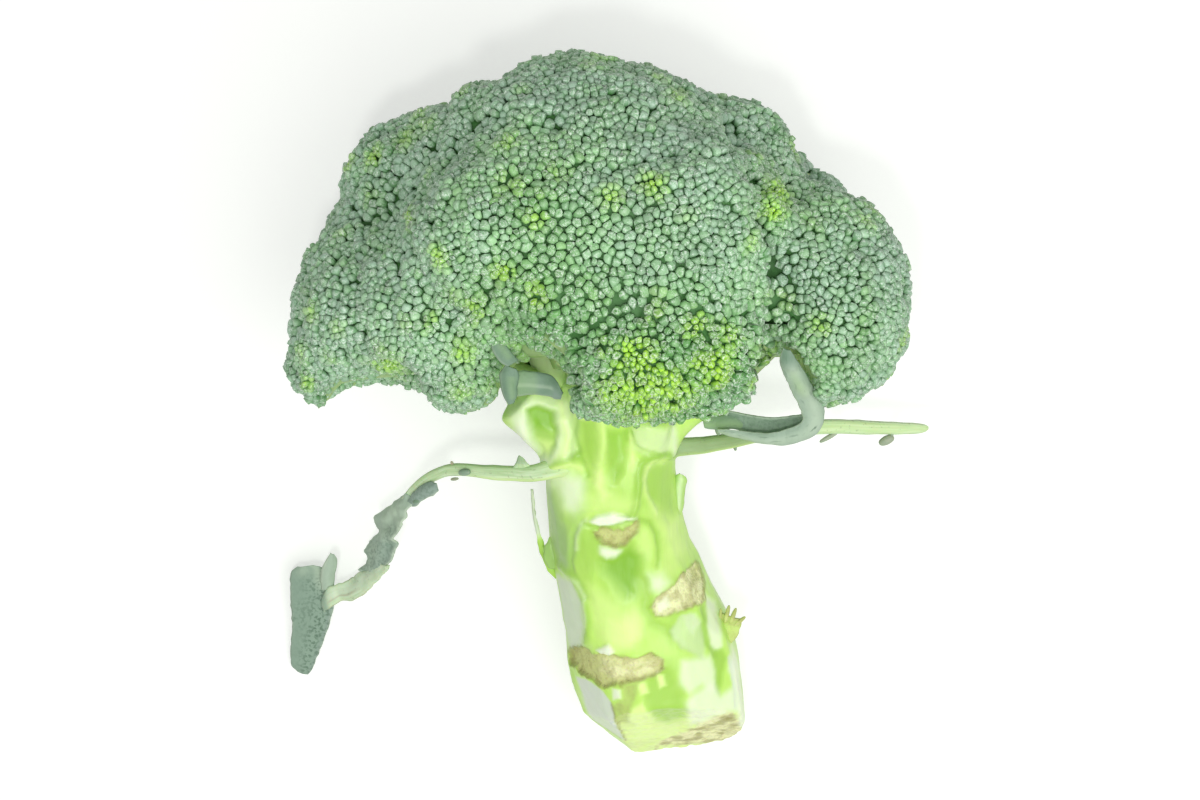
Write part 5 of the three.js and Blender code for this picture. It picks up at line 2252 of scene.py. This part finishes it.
@dataclass
class Leaves:
    """Every leaf, leaf stalk and torn bit that was left on the stalk."""

    def left(self) -> list[LeafPart]:
        """The long leaf on the left: a bent stalk, a crumpled strip, a web and a hanging blade."""
        stalk = (
            (-3.5, -8.8, 60.5, 7.6, 4.2), (-8.0, -10.4, 61.1, 6.5, 4.2), (-11.2, -11.4, 60.8, 5.6, 4.2),
            (-15.2, -12.6, 59.9, 4.7, 4), (-18.8, -13.1, 58.7, 4.3, 3.8), (-22.4, -13.1, 57.4, 4, 3.5),
            (-27.6, -12.9, 55.3, 3.9, 3.2), (-32, -12.6, 53.4, 3.5, 3), (-36.5, -12.3, 51.2, 3.3, 2.8),
            (-40.4, -12.7, 48.6, 3.1, 2.6), (-43.9, -14.1, 45.8, 3, 2.4), (-47, -16.1, 43.1, 2.9, 2.2),
            (-49.9, -18.6, 39.7, 2.6, 2), (-52.5, -21.4, 36.4, 2, 1.6), (-55, -25, 31.8, 1.6, 1.3),
            (-56.8, -28.9, 28.4, 1.4, 1.1), (-58.4, -33.7, 25.4, 1.4, 1.1),
            (-60.7, -38.6, 20.7, 1.6, 1.2), (-63.9, -42.4, 14.7, 1.8, 1.3), (-68.1, -45.8, 10.7, 2, 1.4),
            (-72.7, -48.1, 8.6, 1.6, 1.2)
        )
        strip = (
            (-51.8, -19.2, 39.7, -50, -20, 40.3, 0.3), (-54.5, -20.9, 34.9, -49.8, -21.7, 40.5, 0.7),
            (-57.2, -22.9, 29.9, -51, -24, 39.1, 1.0), (-60, -25.4, 24.3, -52, -26.3, 37.9, 1.3),
            (-61.6, -28.6, 21.1, -52.7, -28.1, 36.9, 1.0), (-60.6, -30.5, 23.1, -53.8, -30.3, 35, 1.5),
            (-63.3, -33.4, 17.9, -54.9, -33, 33, 1.2), (-65, -35.9, 16.2, -55.8, -35.9, 31.1, 1.0),
            (-65.5, -38.4, 15.7, -57.1, -38.5, 28.7, 0.8), (-66.1, -41, 15.2, -60.6, -41.6, 21.9, 0.4)
        )
        web = (
            (-60.7, -38.6, 22.0, -57, -38.9, 28.9, 0.5), (-64.3, -40.7, 15.8, -59.2, -41.7, 24.3, 0.6),
            (-66.7, -42.3, 13.6, -62.2, -44.7, 18.2, 0.7), (-68.7, -43.9, 11.8, -64.7, -47.2, 14.7, 0.7),
            (-71.2, -44.9, 10.9, -68.6, -49.5, 11.4, 0.6), (-73.5, -45.5, 10.4, -72.2, -50, 10, 0.5),
            (-75.6, -46.6, 10.3, -74.9, -51.6, 9.6, 0.4), (-77.0, -48.6, 9.6, -76.4, -52.6, 8.8, 0.2),
            (-77.6, -51.0, 8.9, -76.9, -53.4, 8.3, 0.1)
        )
        blade = (
            (-84.6, -40.8, 9, -80.1, -40.2, 10, 0.3), (-86.3, -42.3, 8.5, -77.5, -41.2, 10, 0.5),
            (-86.7, -45.1, 8, -76.3, -45, 9.6, 0.6), (-86.8, -49.1, 7, -74.5, -49, 8.5, 0.7),
            (-86.6, -53.2, 6, -74.9, -53, 7.5, 0.7), (-86.6, -57.2, 5, -76.2, -57.5, 6.4, 0.6),
            (-86.9, -61.3, 4, -77.9, -61.9, 5.2, 0.5), (-87.2, -65.3, 3, -79.7, -66, 4, 0.4),
            (-87.2, -69, 2, -81.5, -70.1, 2.6, 0.3), (-85.7, -71, 1.2, -82.8, -71.7, 1.6, 0.1)
        )
        ear = (
            (-77.8, -47.2, 9.5, -74.7, -46.7, 9.8, 0.6), (-77.7, -43.3, 11, -74.3, -43.5, 10.4, 0.9),
            (-77, -40.5, 12.4, -73.6, -40.9, 11.4, 0.9), (-75.8, -38.1, 13.6, -73.3, -38.7, 12.6, 0.6),
            (-74.9, -36.5, 14.4, -74.1, -36.8, 13.8, 0.2)
        )
        flap = (
            (-51.3, -21.4, 39.6, -50.1, -21.9, 39.3, 0.1), (-49.3, -18.9, 41.9, -48.6, -21.8, 41, 0.7),
            (-47, -17, 44.6, -46.2, -20.2, 43.8, 1.0), (-44.6, -15.6, 46.7, -43.8, -18.8, 45.6, 0.8),
            (-42.9, -16, 48.1, -42.3, -17.5, 46.8, 0.2)
        )
        fin = (
            (-22.8, -11.9, 58.4, -17.2, -11.9, 59.6, 0.0), (-21.5, -10, 58.8, -19.0, -10.3, 59.6, 0.2),
            (-20.9, -8.5, 58.9, -20.3, -8.8, 59.2, 0.0)
        )
        low_side = math.pi
        return [
            LeafStalk(
                "leaf_left_stalk", stalk,
                (
                    Tint("lush", 0.75, 0.3, 0.9, 0.0, 0.66), Tint("lush", 0.5, 0.0, 9.0, 0.3, 0.6, 0.5),
                    Tint("bright", 0.85, low_side - 0.5, 0.35, -1.0, 0.42, 0.2),
                    Tint("bright", 0.7, 0.0, 9.0, -1.0, 0.16),
                    Tint("brown", 0.4, low_side, 0.25, 0.1, 0.7, 0.8),
                    Tint("grey", 0.8, 0.0, 9.0, 0.62, 2.0, 0.2)
                ),
                150, 0.2, 20
            ),
            LeafSheet(
                "leaf_left_strip", strip,
                (
                    Tint("pale", 0.75, 0.0, 9.0, -1.0, 0.7, 0.5),
                    Tint("pale", 0.45, -0.3, 0.8, 0.4, 2.0, 0.5),
                    Tint("bluish", 0.3, 0.6, 0.5, 0.4, 2.0, 0.8),
                    Tint("shade", 0.5, 0.85, 0.25, 0.3, 0.8, 0.5),
                    Tint("mottle", 0.7, 0.6, 0.5, 0.35, 0.75, 0.5),
                    Tint("mottle", 0.5, 0.0, 1.2, 0.5, 2.0, 0.5),
                    Tint("edge", 0.75, 1.0, 0.1, -1.0, 2.0, 0.6),
                    Tint("edge", 0.75, -1.0, 0.1, -1.0, 2.0, 0.6)
                ),
                150, ruffle=1.3, ragged=0.3, crumple=0.9, columns=21
            ),
            LeafSheet(
                "leaf_left_web", web,
                (
                    Tint("cream", 0.85, -0.1, 0.9), Tint("brown", 0.7, 0.3, 0.09, 0.35, 0.85, 0.3),
                    Tint("lush", 0.5, 0.55, 0.3, 0.4, 0.8, 0.5),
                    Tint("brown", 0.4, 1.0, 0.12, 0.3, 0.9, 0.4), Tint("grey", 0.9, 0.0, 9.0, 0.74, 2.0)
                ),
                60, ruffle=0.5, ragged=0.3, crumple=0.35, thickness=1.2
            ),
            LeafSheet(
                "leaf_left_blade", blade,
                (
                    Tint("shade", 0.3), Tint("mottle", 1.0, 0.45, 0.75, 0.12, 2.0, 0.35),
                    Tint("mottle", 0.5, -0.6, 0.9, 0.3, 2.0, 0.9),
                    Tint("shade", 0.35, 0.5, 0.5, 0.2, 0.75, 0.6),
                    Tint("pale", 0.55, 0.7, 0.35, -1.0, 0.35), Tint("pale", 0.4, -0.2, 0.5, -1.0, 0.22),
                    Tint("bluish", 0.7, 0.9, 0.14, 0.25, 2.0),
                    Tint("edge", 0.5, 1.0, 0.07, 0.3, 2.0, 0.4),
                    Tint("edge", 0.5, -1.0, 0.07, -1.0, 2.0, 0.5)
                ),
                90, ruffle=0.35, ragged=0.2, crumple=0.18, columns=19, seed=64
            ),
            LeafSheet(
                "leaf_left_ear", ear,
                (
                    Tint("pale", 0.5), Tint("bluish", 0.6, 0.3, 0.4, 0.2, 2.0),
                    Tint("edge", 0.6, -1.0, 0.25)
                ),
                30, ruffle=0.3, columns=11
            ),
            LeafSheet(
                "leaf_left_flap", flap,
                (
                    Tint("bluish", 0.8, 0.0, 9.0, -1.0, 2.0, 0.4), Tint("edge", 0.7, 1.0, 0.14),
                    Tint("mottle", 0.3)
                ),
                40, ruffle=0.5, ragged=0.35, crumple=0.4
            ),
            LeafSheet(
                "leaf_left_fin", fin, (Tint("lush", 0.4), Tint("grey", 0.4, 0.0, 9.0, 0.3)), 16, columns=9
            ),
            bead(
                "leaf_left_scar", (-33.7, -12.8, 54.6), (-36.7, -13.1, 53.2), 1.9,
                (Tint("grey", 1.0), Tint("dark", 0.4))
            ),
            # painted shade: a dark bead that fills the hollow between the leaf stalk and its flap
            bead(
                "leaf_left_hollow", (-47.6, -20.1, 43.2), (-49.4, -21.4, 42.0), 1.4, (Tint("dark", 1.0),)
            ),
            bead(
                "leaf_left_knot", (-38.9, -10.2, 50.9), (-38.3, -11.3, 50.6), 0.8, (Tint("brown", 0.9),)
            ),
            bead(
                "leaf_left_spur", (-39.0, -14.9, 50.4), (-36.9, -14.6, 51.0), 0.9,
                (Tint("brown", 0.8), Tint("dark", 0.5))
            )
        ]

    def right(self) -> list[LeafPart]:
        """The leaf stalk on the right, bare but for small buds and stubs, cut off at its end."""
        stalk = (
            (13.7, -6.5, 54, 8.5, 4.6), (17.3, -6.7, 53.4, 6.6, 4.6), (19.5, -6.5, 52.6, 5.2, 4.4),
            (23.2, -6.2, 52, 4.6, 4.2), (26.9, -5.9, 51, 4.4, 4), (32, -5.1, 50, 4.2, 3.8),
            (37.2, -4.1, 48.6, 4, 3.7), (43.2, -2.9, 47.4, 3.9, 3.6), (49.1, -1.9, 46.4, 3.9, 3.5),
            (56.6, -1.4, 45, 3.9, 3.4), (63.4, -1.3, 43.6, 3.8, 3.3), (70.9, -1.5, 42.2, 3.7, 3.2),
            (78.5, -1.8, 40.6, 3.3, 3), (83.6, -1.8, 39.4, 2.7, 2.5), (85.6, -1.75, 39, 2.0, 1.9),
            (86.5, -1.7, 38.8, 1.0, 1.0)
        )
        dark = (Tint("dark", 0.8), Tint("brown", 0.3))
        grey = (Tint("grey", 0.9), Tint("brown", 0.35))
        return [
            LeafStalk(
                "leaf_right_stalk", stalk,
                (
                    Tint("olive", 1.0, 0.0, 9.0, -1.0, 0.6, 0.1),
                    Tint("olive", 0.35, 0.0, 9.0, -1.0, 0.4),
                    Tint("bright", 0.85, 0.25, 0.4, -1.0, 0.5, 0.2),
                    Tint("bright", 0.5, math.pi / 2, 0.9, 0.42, 2.0, 0.3),
                    Tint("cream", 0.15, math.pi / 2, 0.5, 0.42, 2.0, 0.6),
                    Tint("lush", 0.6, 0.2, 0.5, 0.45, 2.0, 0.2),
                    Tint("brown", 0.45, math.pi - 0.2, 0.25, 0.4, 2.0, 0.6),
                    Tint("grey", 0.8, 0.0, 9.0, 0.97, 2.0)
                ),
                120, 0.2, 20
            ),
            bead("leaf_right_stub_a", (30.4, -3.4, 52.4), (29.6, -1.2, 53.0), 1.1, dark),
            bead("leaf_right_stub_b", (34.6, -5.6, 49.6), (35.0, -7.4, 49.0), 1.0, dark),
            bead("leaf_right_stub_c", (62.2, -2.6, 43.6), (57.4, -5.4, 43.2), 1.3, grey),
            bead("leaf_right_shoot", (76.4, -2.6, 41.4), (76.8, -4.2, 41.0), 0.9, grey),
            bead("leaf_right_bud", (77.1, -4.0, 41.0), (73.4, -5.9, 40.3), 2.5, grey)
        ]

    def curled(self) -> list[LeafPart]:
        """The curled leaf on the right: a pale band that turns over, dark on its inner side."""
        band = (
            (43.5, 18, 94.6, 45, 17.7, 93.4, 0.4), (42.9, 15.4, 91.6, 46.4, 15.9, 90.4, 1.0),
            (43.8, 13.1, 87.6, 48.4, 13.7, 86.4, 1.0), (45.4, 10.4, 83.6, 50.4, 11, 82.4, 1.0),
            (47, 7.7, 79.6, 52.3, 8.5, 78.4, 1.0), (48.6, 5.3, 75.6, 54.3, 6.3, 74.4, 1.0),
            (49.9, 2.8, 72.6, 55.4, 3.2, 71.4, 1.2), (50.3, 0.9, 70.6, 55.3, -0.1, 69.4, 1.2),
            (48.8, -0.7, 69.1, 53.4, -3.1, 67.9, 1.2), (46.1, -1.7, 68.1, 50.1, -4.7, 66.9, 1.2),
            (43, -2.4, 67.1, 45.2, -5.5, 65.9, 1.0), (39.2, -2.6, 66.1, 40.4, -5.1, 64.9, 1.0),
            (35.4, -2, 65.1, 36.2, -4, 63.9, 0.8), (31.9, -1.5, 64.1, 32.3, -2.9, 62.9, 0.5),
            (29.5, -1.6, 63.1, 29.8, -2.3, 61.9, 0.2)
        )
        inner = (
            (31.9, 2.8, 62.3, 32.4, 1.9, 60.3, 0.0), (35.2, 2.1, 63.1, 34.6, -0.7, 61.1, -0.6),
            (39, 1.5, 64, 38.1, -2.8, 62, -0.9), (43.2, 1.2, 64.8, 42.3, -3.4, 62.8, -1.0),
            (46.7, 1.3, 65.6, 46.2, -2.6, 63.6, -0.9), (49.9, 1.9, 66.4, 49.8, -0.9, 64.4, -0.5),
            (51.5, 2.3, 67.2, 51.5, 0.8, 65.2, 0.0)
        )
        rib = (
            (37.2, 0.6, 60.6, 37.4, -2.6, 60.4, 0.4), (33.7, 1.6, 61, 34.1, -1.4, 61, 0.5),
            (30.3, 1.4, 60.6, 31, -1.8, 60.6, 0.5), (26.0, 0.8, 59.6, 26.4, -1.2, 59.6, 0.3)
        )
        return [
            LeafSheet(
                "leaf_curled_blade", band,
                (
                    Tint("pale", 0.75, 0.2, 0.9, 0.05, 2.0, 0.3),
                    Tint("lime", 0.4, -0.1, 0.5, 0.1, 0.34, 0.2),
                    Tint("shade", 0.9, -0.5, 1.2, -1.0, 0.15),
                    Tint("shade", 0.5, 0.9, 0.4, 0.1, 0.5, 0.3),
                    Tint("shade", 0.45, -0.2, 0.25, 0.12, 0.45, 0.6),
                    Tint("shade", 0.35, 0.2, 0.2, 0.4, 0.9, 0.6),
                    Tint("vein", 0.75, 0.35, 0.4, 0.35, 0.8, 0.2), Tint("vein", 0.35),
                    Tint("edge", 0.6, -1.0, 0.1)
                ),
                130, ruffle=0.3, ragged=0.12, crumple=0.3, columns=19, seed=66
            ),
            LeafSheet(
                "leaf_curled_inner", inner,
                (
                    Tint("shade", 0.6), Tint("pale", 0.15), Tint("mottle", 0.3),
                    Tint("edge", 0.35, -1.0, 0.12)
                ),
                60, ruffle=0.2, ragged=0.1
            ),
            LeafSheet(
                "leaf_curled_rib", rib, (Tint("shade", 0.55), Tint("lime", 0.5, 0.3, 0.7)), 30,
                thickness=1.0
            )
        ]

    def small(self) -> list[LeafPart]:
        """The small leaf in the cleft between the upper heads, with its collar and bract."""
        tongue = (
            (-21.0, 12.8, 92.5, -20.8, 6.8, 90.5, 0.6), (-17.9, 12.5, 92, -17.6, 7.2, 90, 0.8),
            (-14.7, 12.1, 91.5, -14.6, 7.0, 89.5, 0.8), (-12.2, 11.6, 90.5, -12.2, 6.6, 88.5, 0.7),
            (-10.4, 9.8, 89.5, -10.9, 6.2, 88, 0.4), (-9.2, 7.4, 89, -9.7, 6.2, 88, 0.15)
        )
        collar = (
            (-22.7, 14.2, 93.5, -20.3, 13.2, 93.5, 0.4), (-24.1, 12, 92.5, -19.9, 11.5, 92.5, 1.0),
            (-23.9, 9.3, 92, -20.2, 9, 92, 1.1), (-23.2, 6.6, 91.5, -20.3, 6.9, 91.5, 0.9),
            (-22.2, 4.7, 91, -21.1, 5.1, 91, 0.3)
        )
        bract = (
            (-27.2, 23.1, 96, -26, 22.2, 96, 0.2), (-26.4, 20.5, 95.5, -24.4, 21.2, 95.5, 0.5),
            (-25.7, 17.5, 95, -23, 19.2, 95, 0.6), (-24, 14.9, 94.4, -21.4, 17, 94.4, 0.5),
            (-22.3, 13.8, 94, -20, 15.1, 94, 0.3)
        )
        dim = (Tint("shade", 0.75), Tint("lime", 0.25, 0.3, 0.5, 0.2, 0.9), Tint("edge", 0.4, -1.0, 0.2))
        return [
            LeafSheet(
                "leaf_small_blade", tongue,
                (
                    Tint("shade", 0.95, 0.0, 9.0, -1.0, 2.0, 0.3),
                    Tint("shade", 0.8, -0.5, 0.5, -1.0, 0.8, 0.3),
                    Tint("lime", 0.35, 0.0, 9.0, -1.0, 0.4, 0.3), Tint("pale", 0.5, 0.1, 0.14, -1.0, 0.7),
                    Tint("bluish", 0.6, 0.5, 0.5, 0.6, 2.0), Tint("edge", 0.4, 1.0, 0.1)
                ),
                50, ruffle=0.25
            ),
            LeafSheet("leaf_small_collar", collar, dim, 36), LeafSheet("leaf_small_bract", bract, dim, 36)
        ]

    def torn(self) -> list[tuple[LeafPart, str]]:
        """What is left of torn leaves along the stalk, each with the CAD node that it stands for."""
        sliver = (
            (-18.4, -17.8, 42, -18.1, -17.8, 42, 0.0), (-18, -22.4, 41.5, -17.5, -22.4, 41.5, 0.1),
            (-17.4, -27.7, 41, -16.7, -27.5, 41, 0.2), (-16.6, -31.7, 40, -15.6, -31.3, 40, 0.3),
            (-15.6, -35.8, 39, -14.1, -34.9, 39, 0.4), (-14.1, -39.4, 38, -12.3, -38, 38, 0.4),
            (-12.2, -41.7, 37, -10.7, -40.2, 37, 0.2)
        )
        leaflet = (
            (-13.6, -30.4, 42, -13.0, -30.6, 42, 0.0), (-14.6, -33.3, 41.5, -12.0, -33.3, 41.5, 0.4),
            (-14.7, -36.1, 41, -11, -36.1, 41, 0.5), (-13.7, -38.7, 40, -10.5, -38.7, 40, 0.3)
        )
        stub = (
            (19.8, -24.5, 45, 20.4, -24.7, 45, 0.2), (19.3, -20.4, 46, 21.2, -21, 46, 0.7),
            (19.0, -16.9, 47, 21.6, -16.9, 47, 0.9), (19.6, -14.4, 48, 21.9, -15, 48, 0.7),
            (20.2, -13.4, 48.4, 21.4, -13.8, 48.4, 0.2)
        )
        base = (
            (32.2, -59.0, 35.0, 33.6, -59.4, 35.0, 0.2), (31.8, -55.5, 36, 35.9, -56.8, 36, 0.6),
            (31.6, -52.9, 37, 37.1, -54.1, 37, 0.6), (32, -50.9, 38, 37.3, -52.4, 38, 0.3)
        )
        spikes = (
            ((31.4, -53.6, 37.4), (31.7, -49.6, 38.4), 0.9),
            ((32.8, -53.2, 38.0), (33.9, -48.6, 39.0), 1.2),
            ((34.2, -53.4, 38.2), (35.7, -49.3, 39.4), 1.2),
            ((35.4, -54.0, 38.0), (38.2, -51.6, 39.0), 1.1)
        )
        frayed = (Tint("scar", 0.8), Tint("rim", 0.45, 0.0, 9.0, 0.4, 2.0, 0.4))
        thorns = [
            (bead(f"torn_base_spike_{turn}", *spike, frayed), "torn_leaf_base")
            for turn, spike in enumerate(spikes)
        ]
        return [
            (
                LeafSheet(
                    "torn_strip_blade", sliver,
                    (Tint("green", 0.6, 0.0, 9.0, 0.4), Tint("frost", 0.9, 0.0, 9.0, -1.0, 0.5))
                ),
                "torn_strip"
            ),
            (
                LeafSheet(
                    "torn_strip_leaflet", leaflet, (Tint("deep", 0.45), Tint("sage", 0.6)), 24, ragged=0.5
                ),
                "torn_strip"
            ),
            (
                LeafSheet(
                    "leaf_stub_blade", stub, (Tint("sage", 0.6), Tint("pale", 0.5, 0.0, 0.4)), 30,
                    thickness=1.2
                ),
                "leaf_stub"
            ),
            (
                LeafSheet(
                    "torn_base_blade", base,
                    (
                        Tint("scar", 0.6, 0.0, 9.0, -1.0, 2.0, 0.3), Tint("green", 0.5, -0.8, 0.4),
                        Tint("rim", 0.35, 0.0, 9.0, 0.6, 2.0, 0.4)
                    ),
                    30, ruffle=0.5, ragged=0.4, thickness=0.9
                ),
                "torn_leaf_base"
            ),
            *thorns
        ]

    def build(self) -> None:
        """Builds and hands over every leaf piece, each in its own finish."""
        petiole = LeafStalkSkin("smooth_petiole_skin").material()
        waxy = LeafBladeSkin("waxy_leaf_blade").material()
        fleshy = StalkSkin("torn_stalk_flesh").material()
        thick = ("leaf_left_web", "leaf_left_fin")
        for parts, node in (
            (self.left(), "leaf_left"),
            (self.right(), "leaf_right"),
            (self.curled(), "leaf_curled"),
            (self.small(), "leaf_small"),
        ):
            for part in parts:
                stem = isinstance(part, LeafStalk)
                skin = petiole if stem or part.name in thick else waxy
                hand_over(part.piece(), [node], skin)
        for part, node in self.torn():
            hand_over(part.piece(), [node], fleshy)


# ---------------------------------------------------------------- studio


@dataclass
class Studio:
    """A white board, a bright room, a large soft lamp, a small one and the camera overhead."""

    camera_height: float = 600 * MM
    camera_shift_x: float = -0.3 * MM
    camera_shift_y: float = 5.7 * MM
    lens: float = 63.6
    room_level: float = 0.5
    lamps: tuple[tuple, ...] = (
        ("soft_lamp", 2.3, 0.5, (0.2, -0.22, 0.64)), ("small_lamp", 0.75, 0.04, (-0.04, -0.09, 0.64))
    )
    aim: tuple[float, float, float] = (0.0, 0.02, 0.06)

    def build(self) -> None:
        """Makes the board, the room's light, the lamps and the camera."""
        self.board()
        self.room()
        for row in self.lamps:
            self.lamp(*row)
        self.camera()

    def board(self) -> None:
        """Lays the board just under the head."""
        reach, drop = 3.0, -0.05 * MM
        ends = ((-1, -1), (1, -1), (1, 1), (-1, 1))
        corners = np.array([(x * reach, y * reach, drop) for x, y in ends])
        board = place_object("board", new_mesh("board", corners, [(0, 1, 2, 3)]))
        board.data.materials.append(ShelfBoard("matt_white_board").material())

    def room(self) -> None:
        """Lights the head evenly from all round; the camera sees plain white."""
        world = bpy.data.worlds.new("white_room")
        world.use_nodes = True
        tree = world.node_tree
        feed(tree, tree.nodes["Background"], {"Strength": self.room_level, "Color": linear(WHITE)})
        white = add_node(tree, "ShaderNodeBackground", None, {"Color": linear(WHITE), "Strength": 1.0})
        rays = add_node(tree, "ShaderNodeLightPath")
        seen = add_node(
            tree, "ShaderNodeMath", {"operation": "MAXIMUM"},
            {0: rays.outputs["Is Camera Ray"], 1: rays.outputs["Is Transmission Ray"]}
        )
        mix = add_node(
            tree, "ShaderNodeMixShader", None,
            {0: seen.outputs[0], 1: tree.nodes["Background"].outputs[0], 2: white.outputs[0]}
        )
        tree.links.new(mix.outputs[0], tree.nodes["World Output"].inputs["Surface"])
        bpy.context.scene.world = world

    def lamp(self, name: str, power: float, size: float, place: tuple[float, float, float]) -> None:
        """Hangs a square lamp that looks at the crown.

        Args:
            name: The lamp's name.
            power: Its power in watts.
            size: Its width in metres.
            place: Where it hangs, in metres.
        """
        data = bpy.data.lights.new(name, "AREA")
        data.energy = power
        data.size = size
        lamp = bpy.data.objects.new(name, data)
        lamp.location = place
        aim = Vector(self.aim) - lamp.location
        lamp.rotation_mode = "QUATERNION"
        lamp.rotation_quaternion = aim.to_track_quat("-Z", "Y")
        bpy.context.scene.collection.objects.link(lamp)

    def camera(self) -> None:
        """Hangs the camera straight above the head."""
        data = bpy.data.cameras.new("overhead")
        data.lens = self.lens
        data.sensor_width = 36.0
        data.clip_start = 0.01
        camera = bpy.data.objects.new("overhead", data)
        camera.location = (self.camera_shift_x, self.camera_shift_y, self.camera_height)
        bpy.context.scene.collection.objects.link(camera)
        bpy.context.scene.camera = camera


def main() -> None:
    """Builds the head, piece by piece, and the studio round it."""
    logging.basicConfig(level=logging.INFO, format="%(name)s: %(message)s")
    bpy.context.scene.view_settings.view_transform = "Standard"
    names = sorted(n[len("head_") :] for n in frame["nodes"] if n.startswith("head_"))
    heads = [
        FloretHead(name, Habit.LOOSE, 1.08)
        if name == "front_low"
        else FloretHead(name, spacing=1.25 if name.startswith("back_") else 1.0)
        for name in names
    ]
    Studio().build()
    Stalk().build()
    Leaves().build()
    Crown(heads).build()


if __name__ == "__main__":
    main()
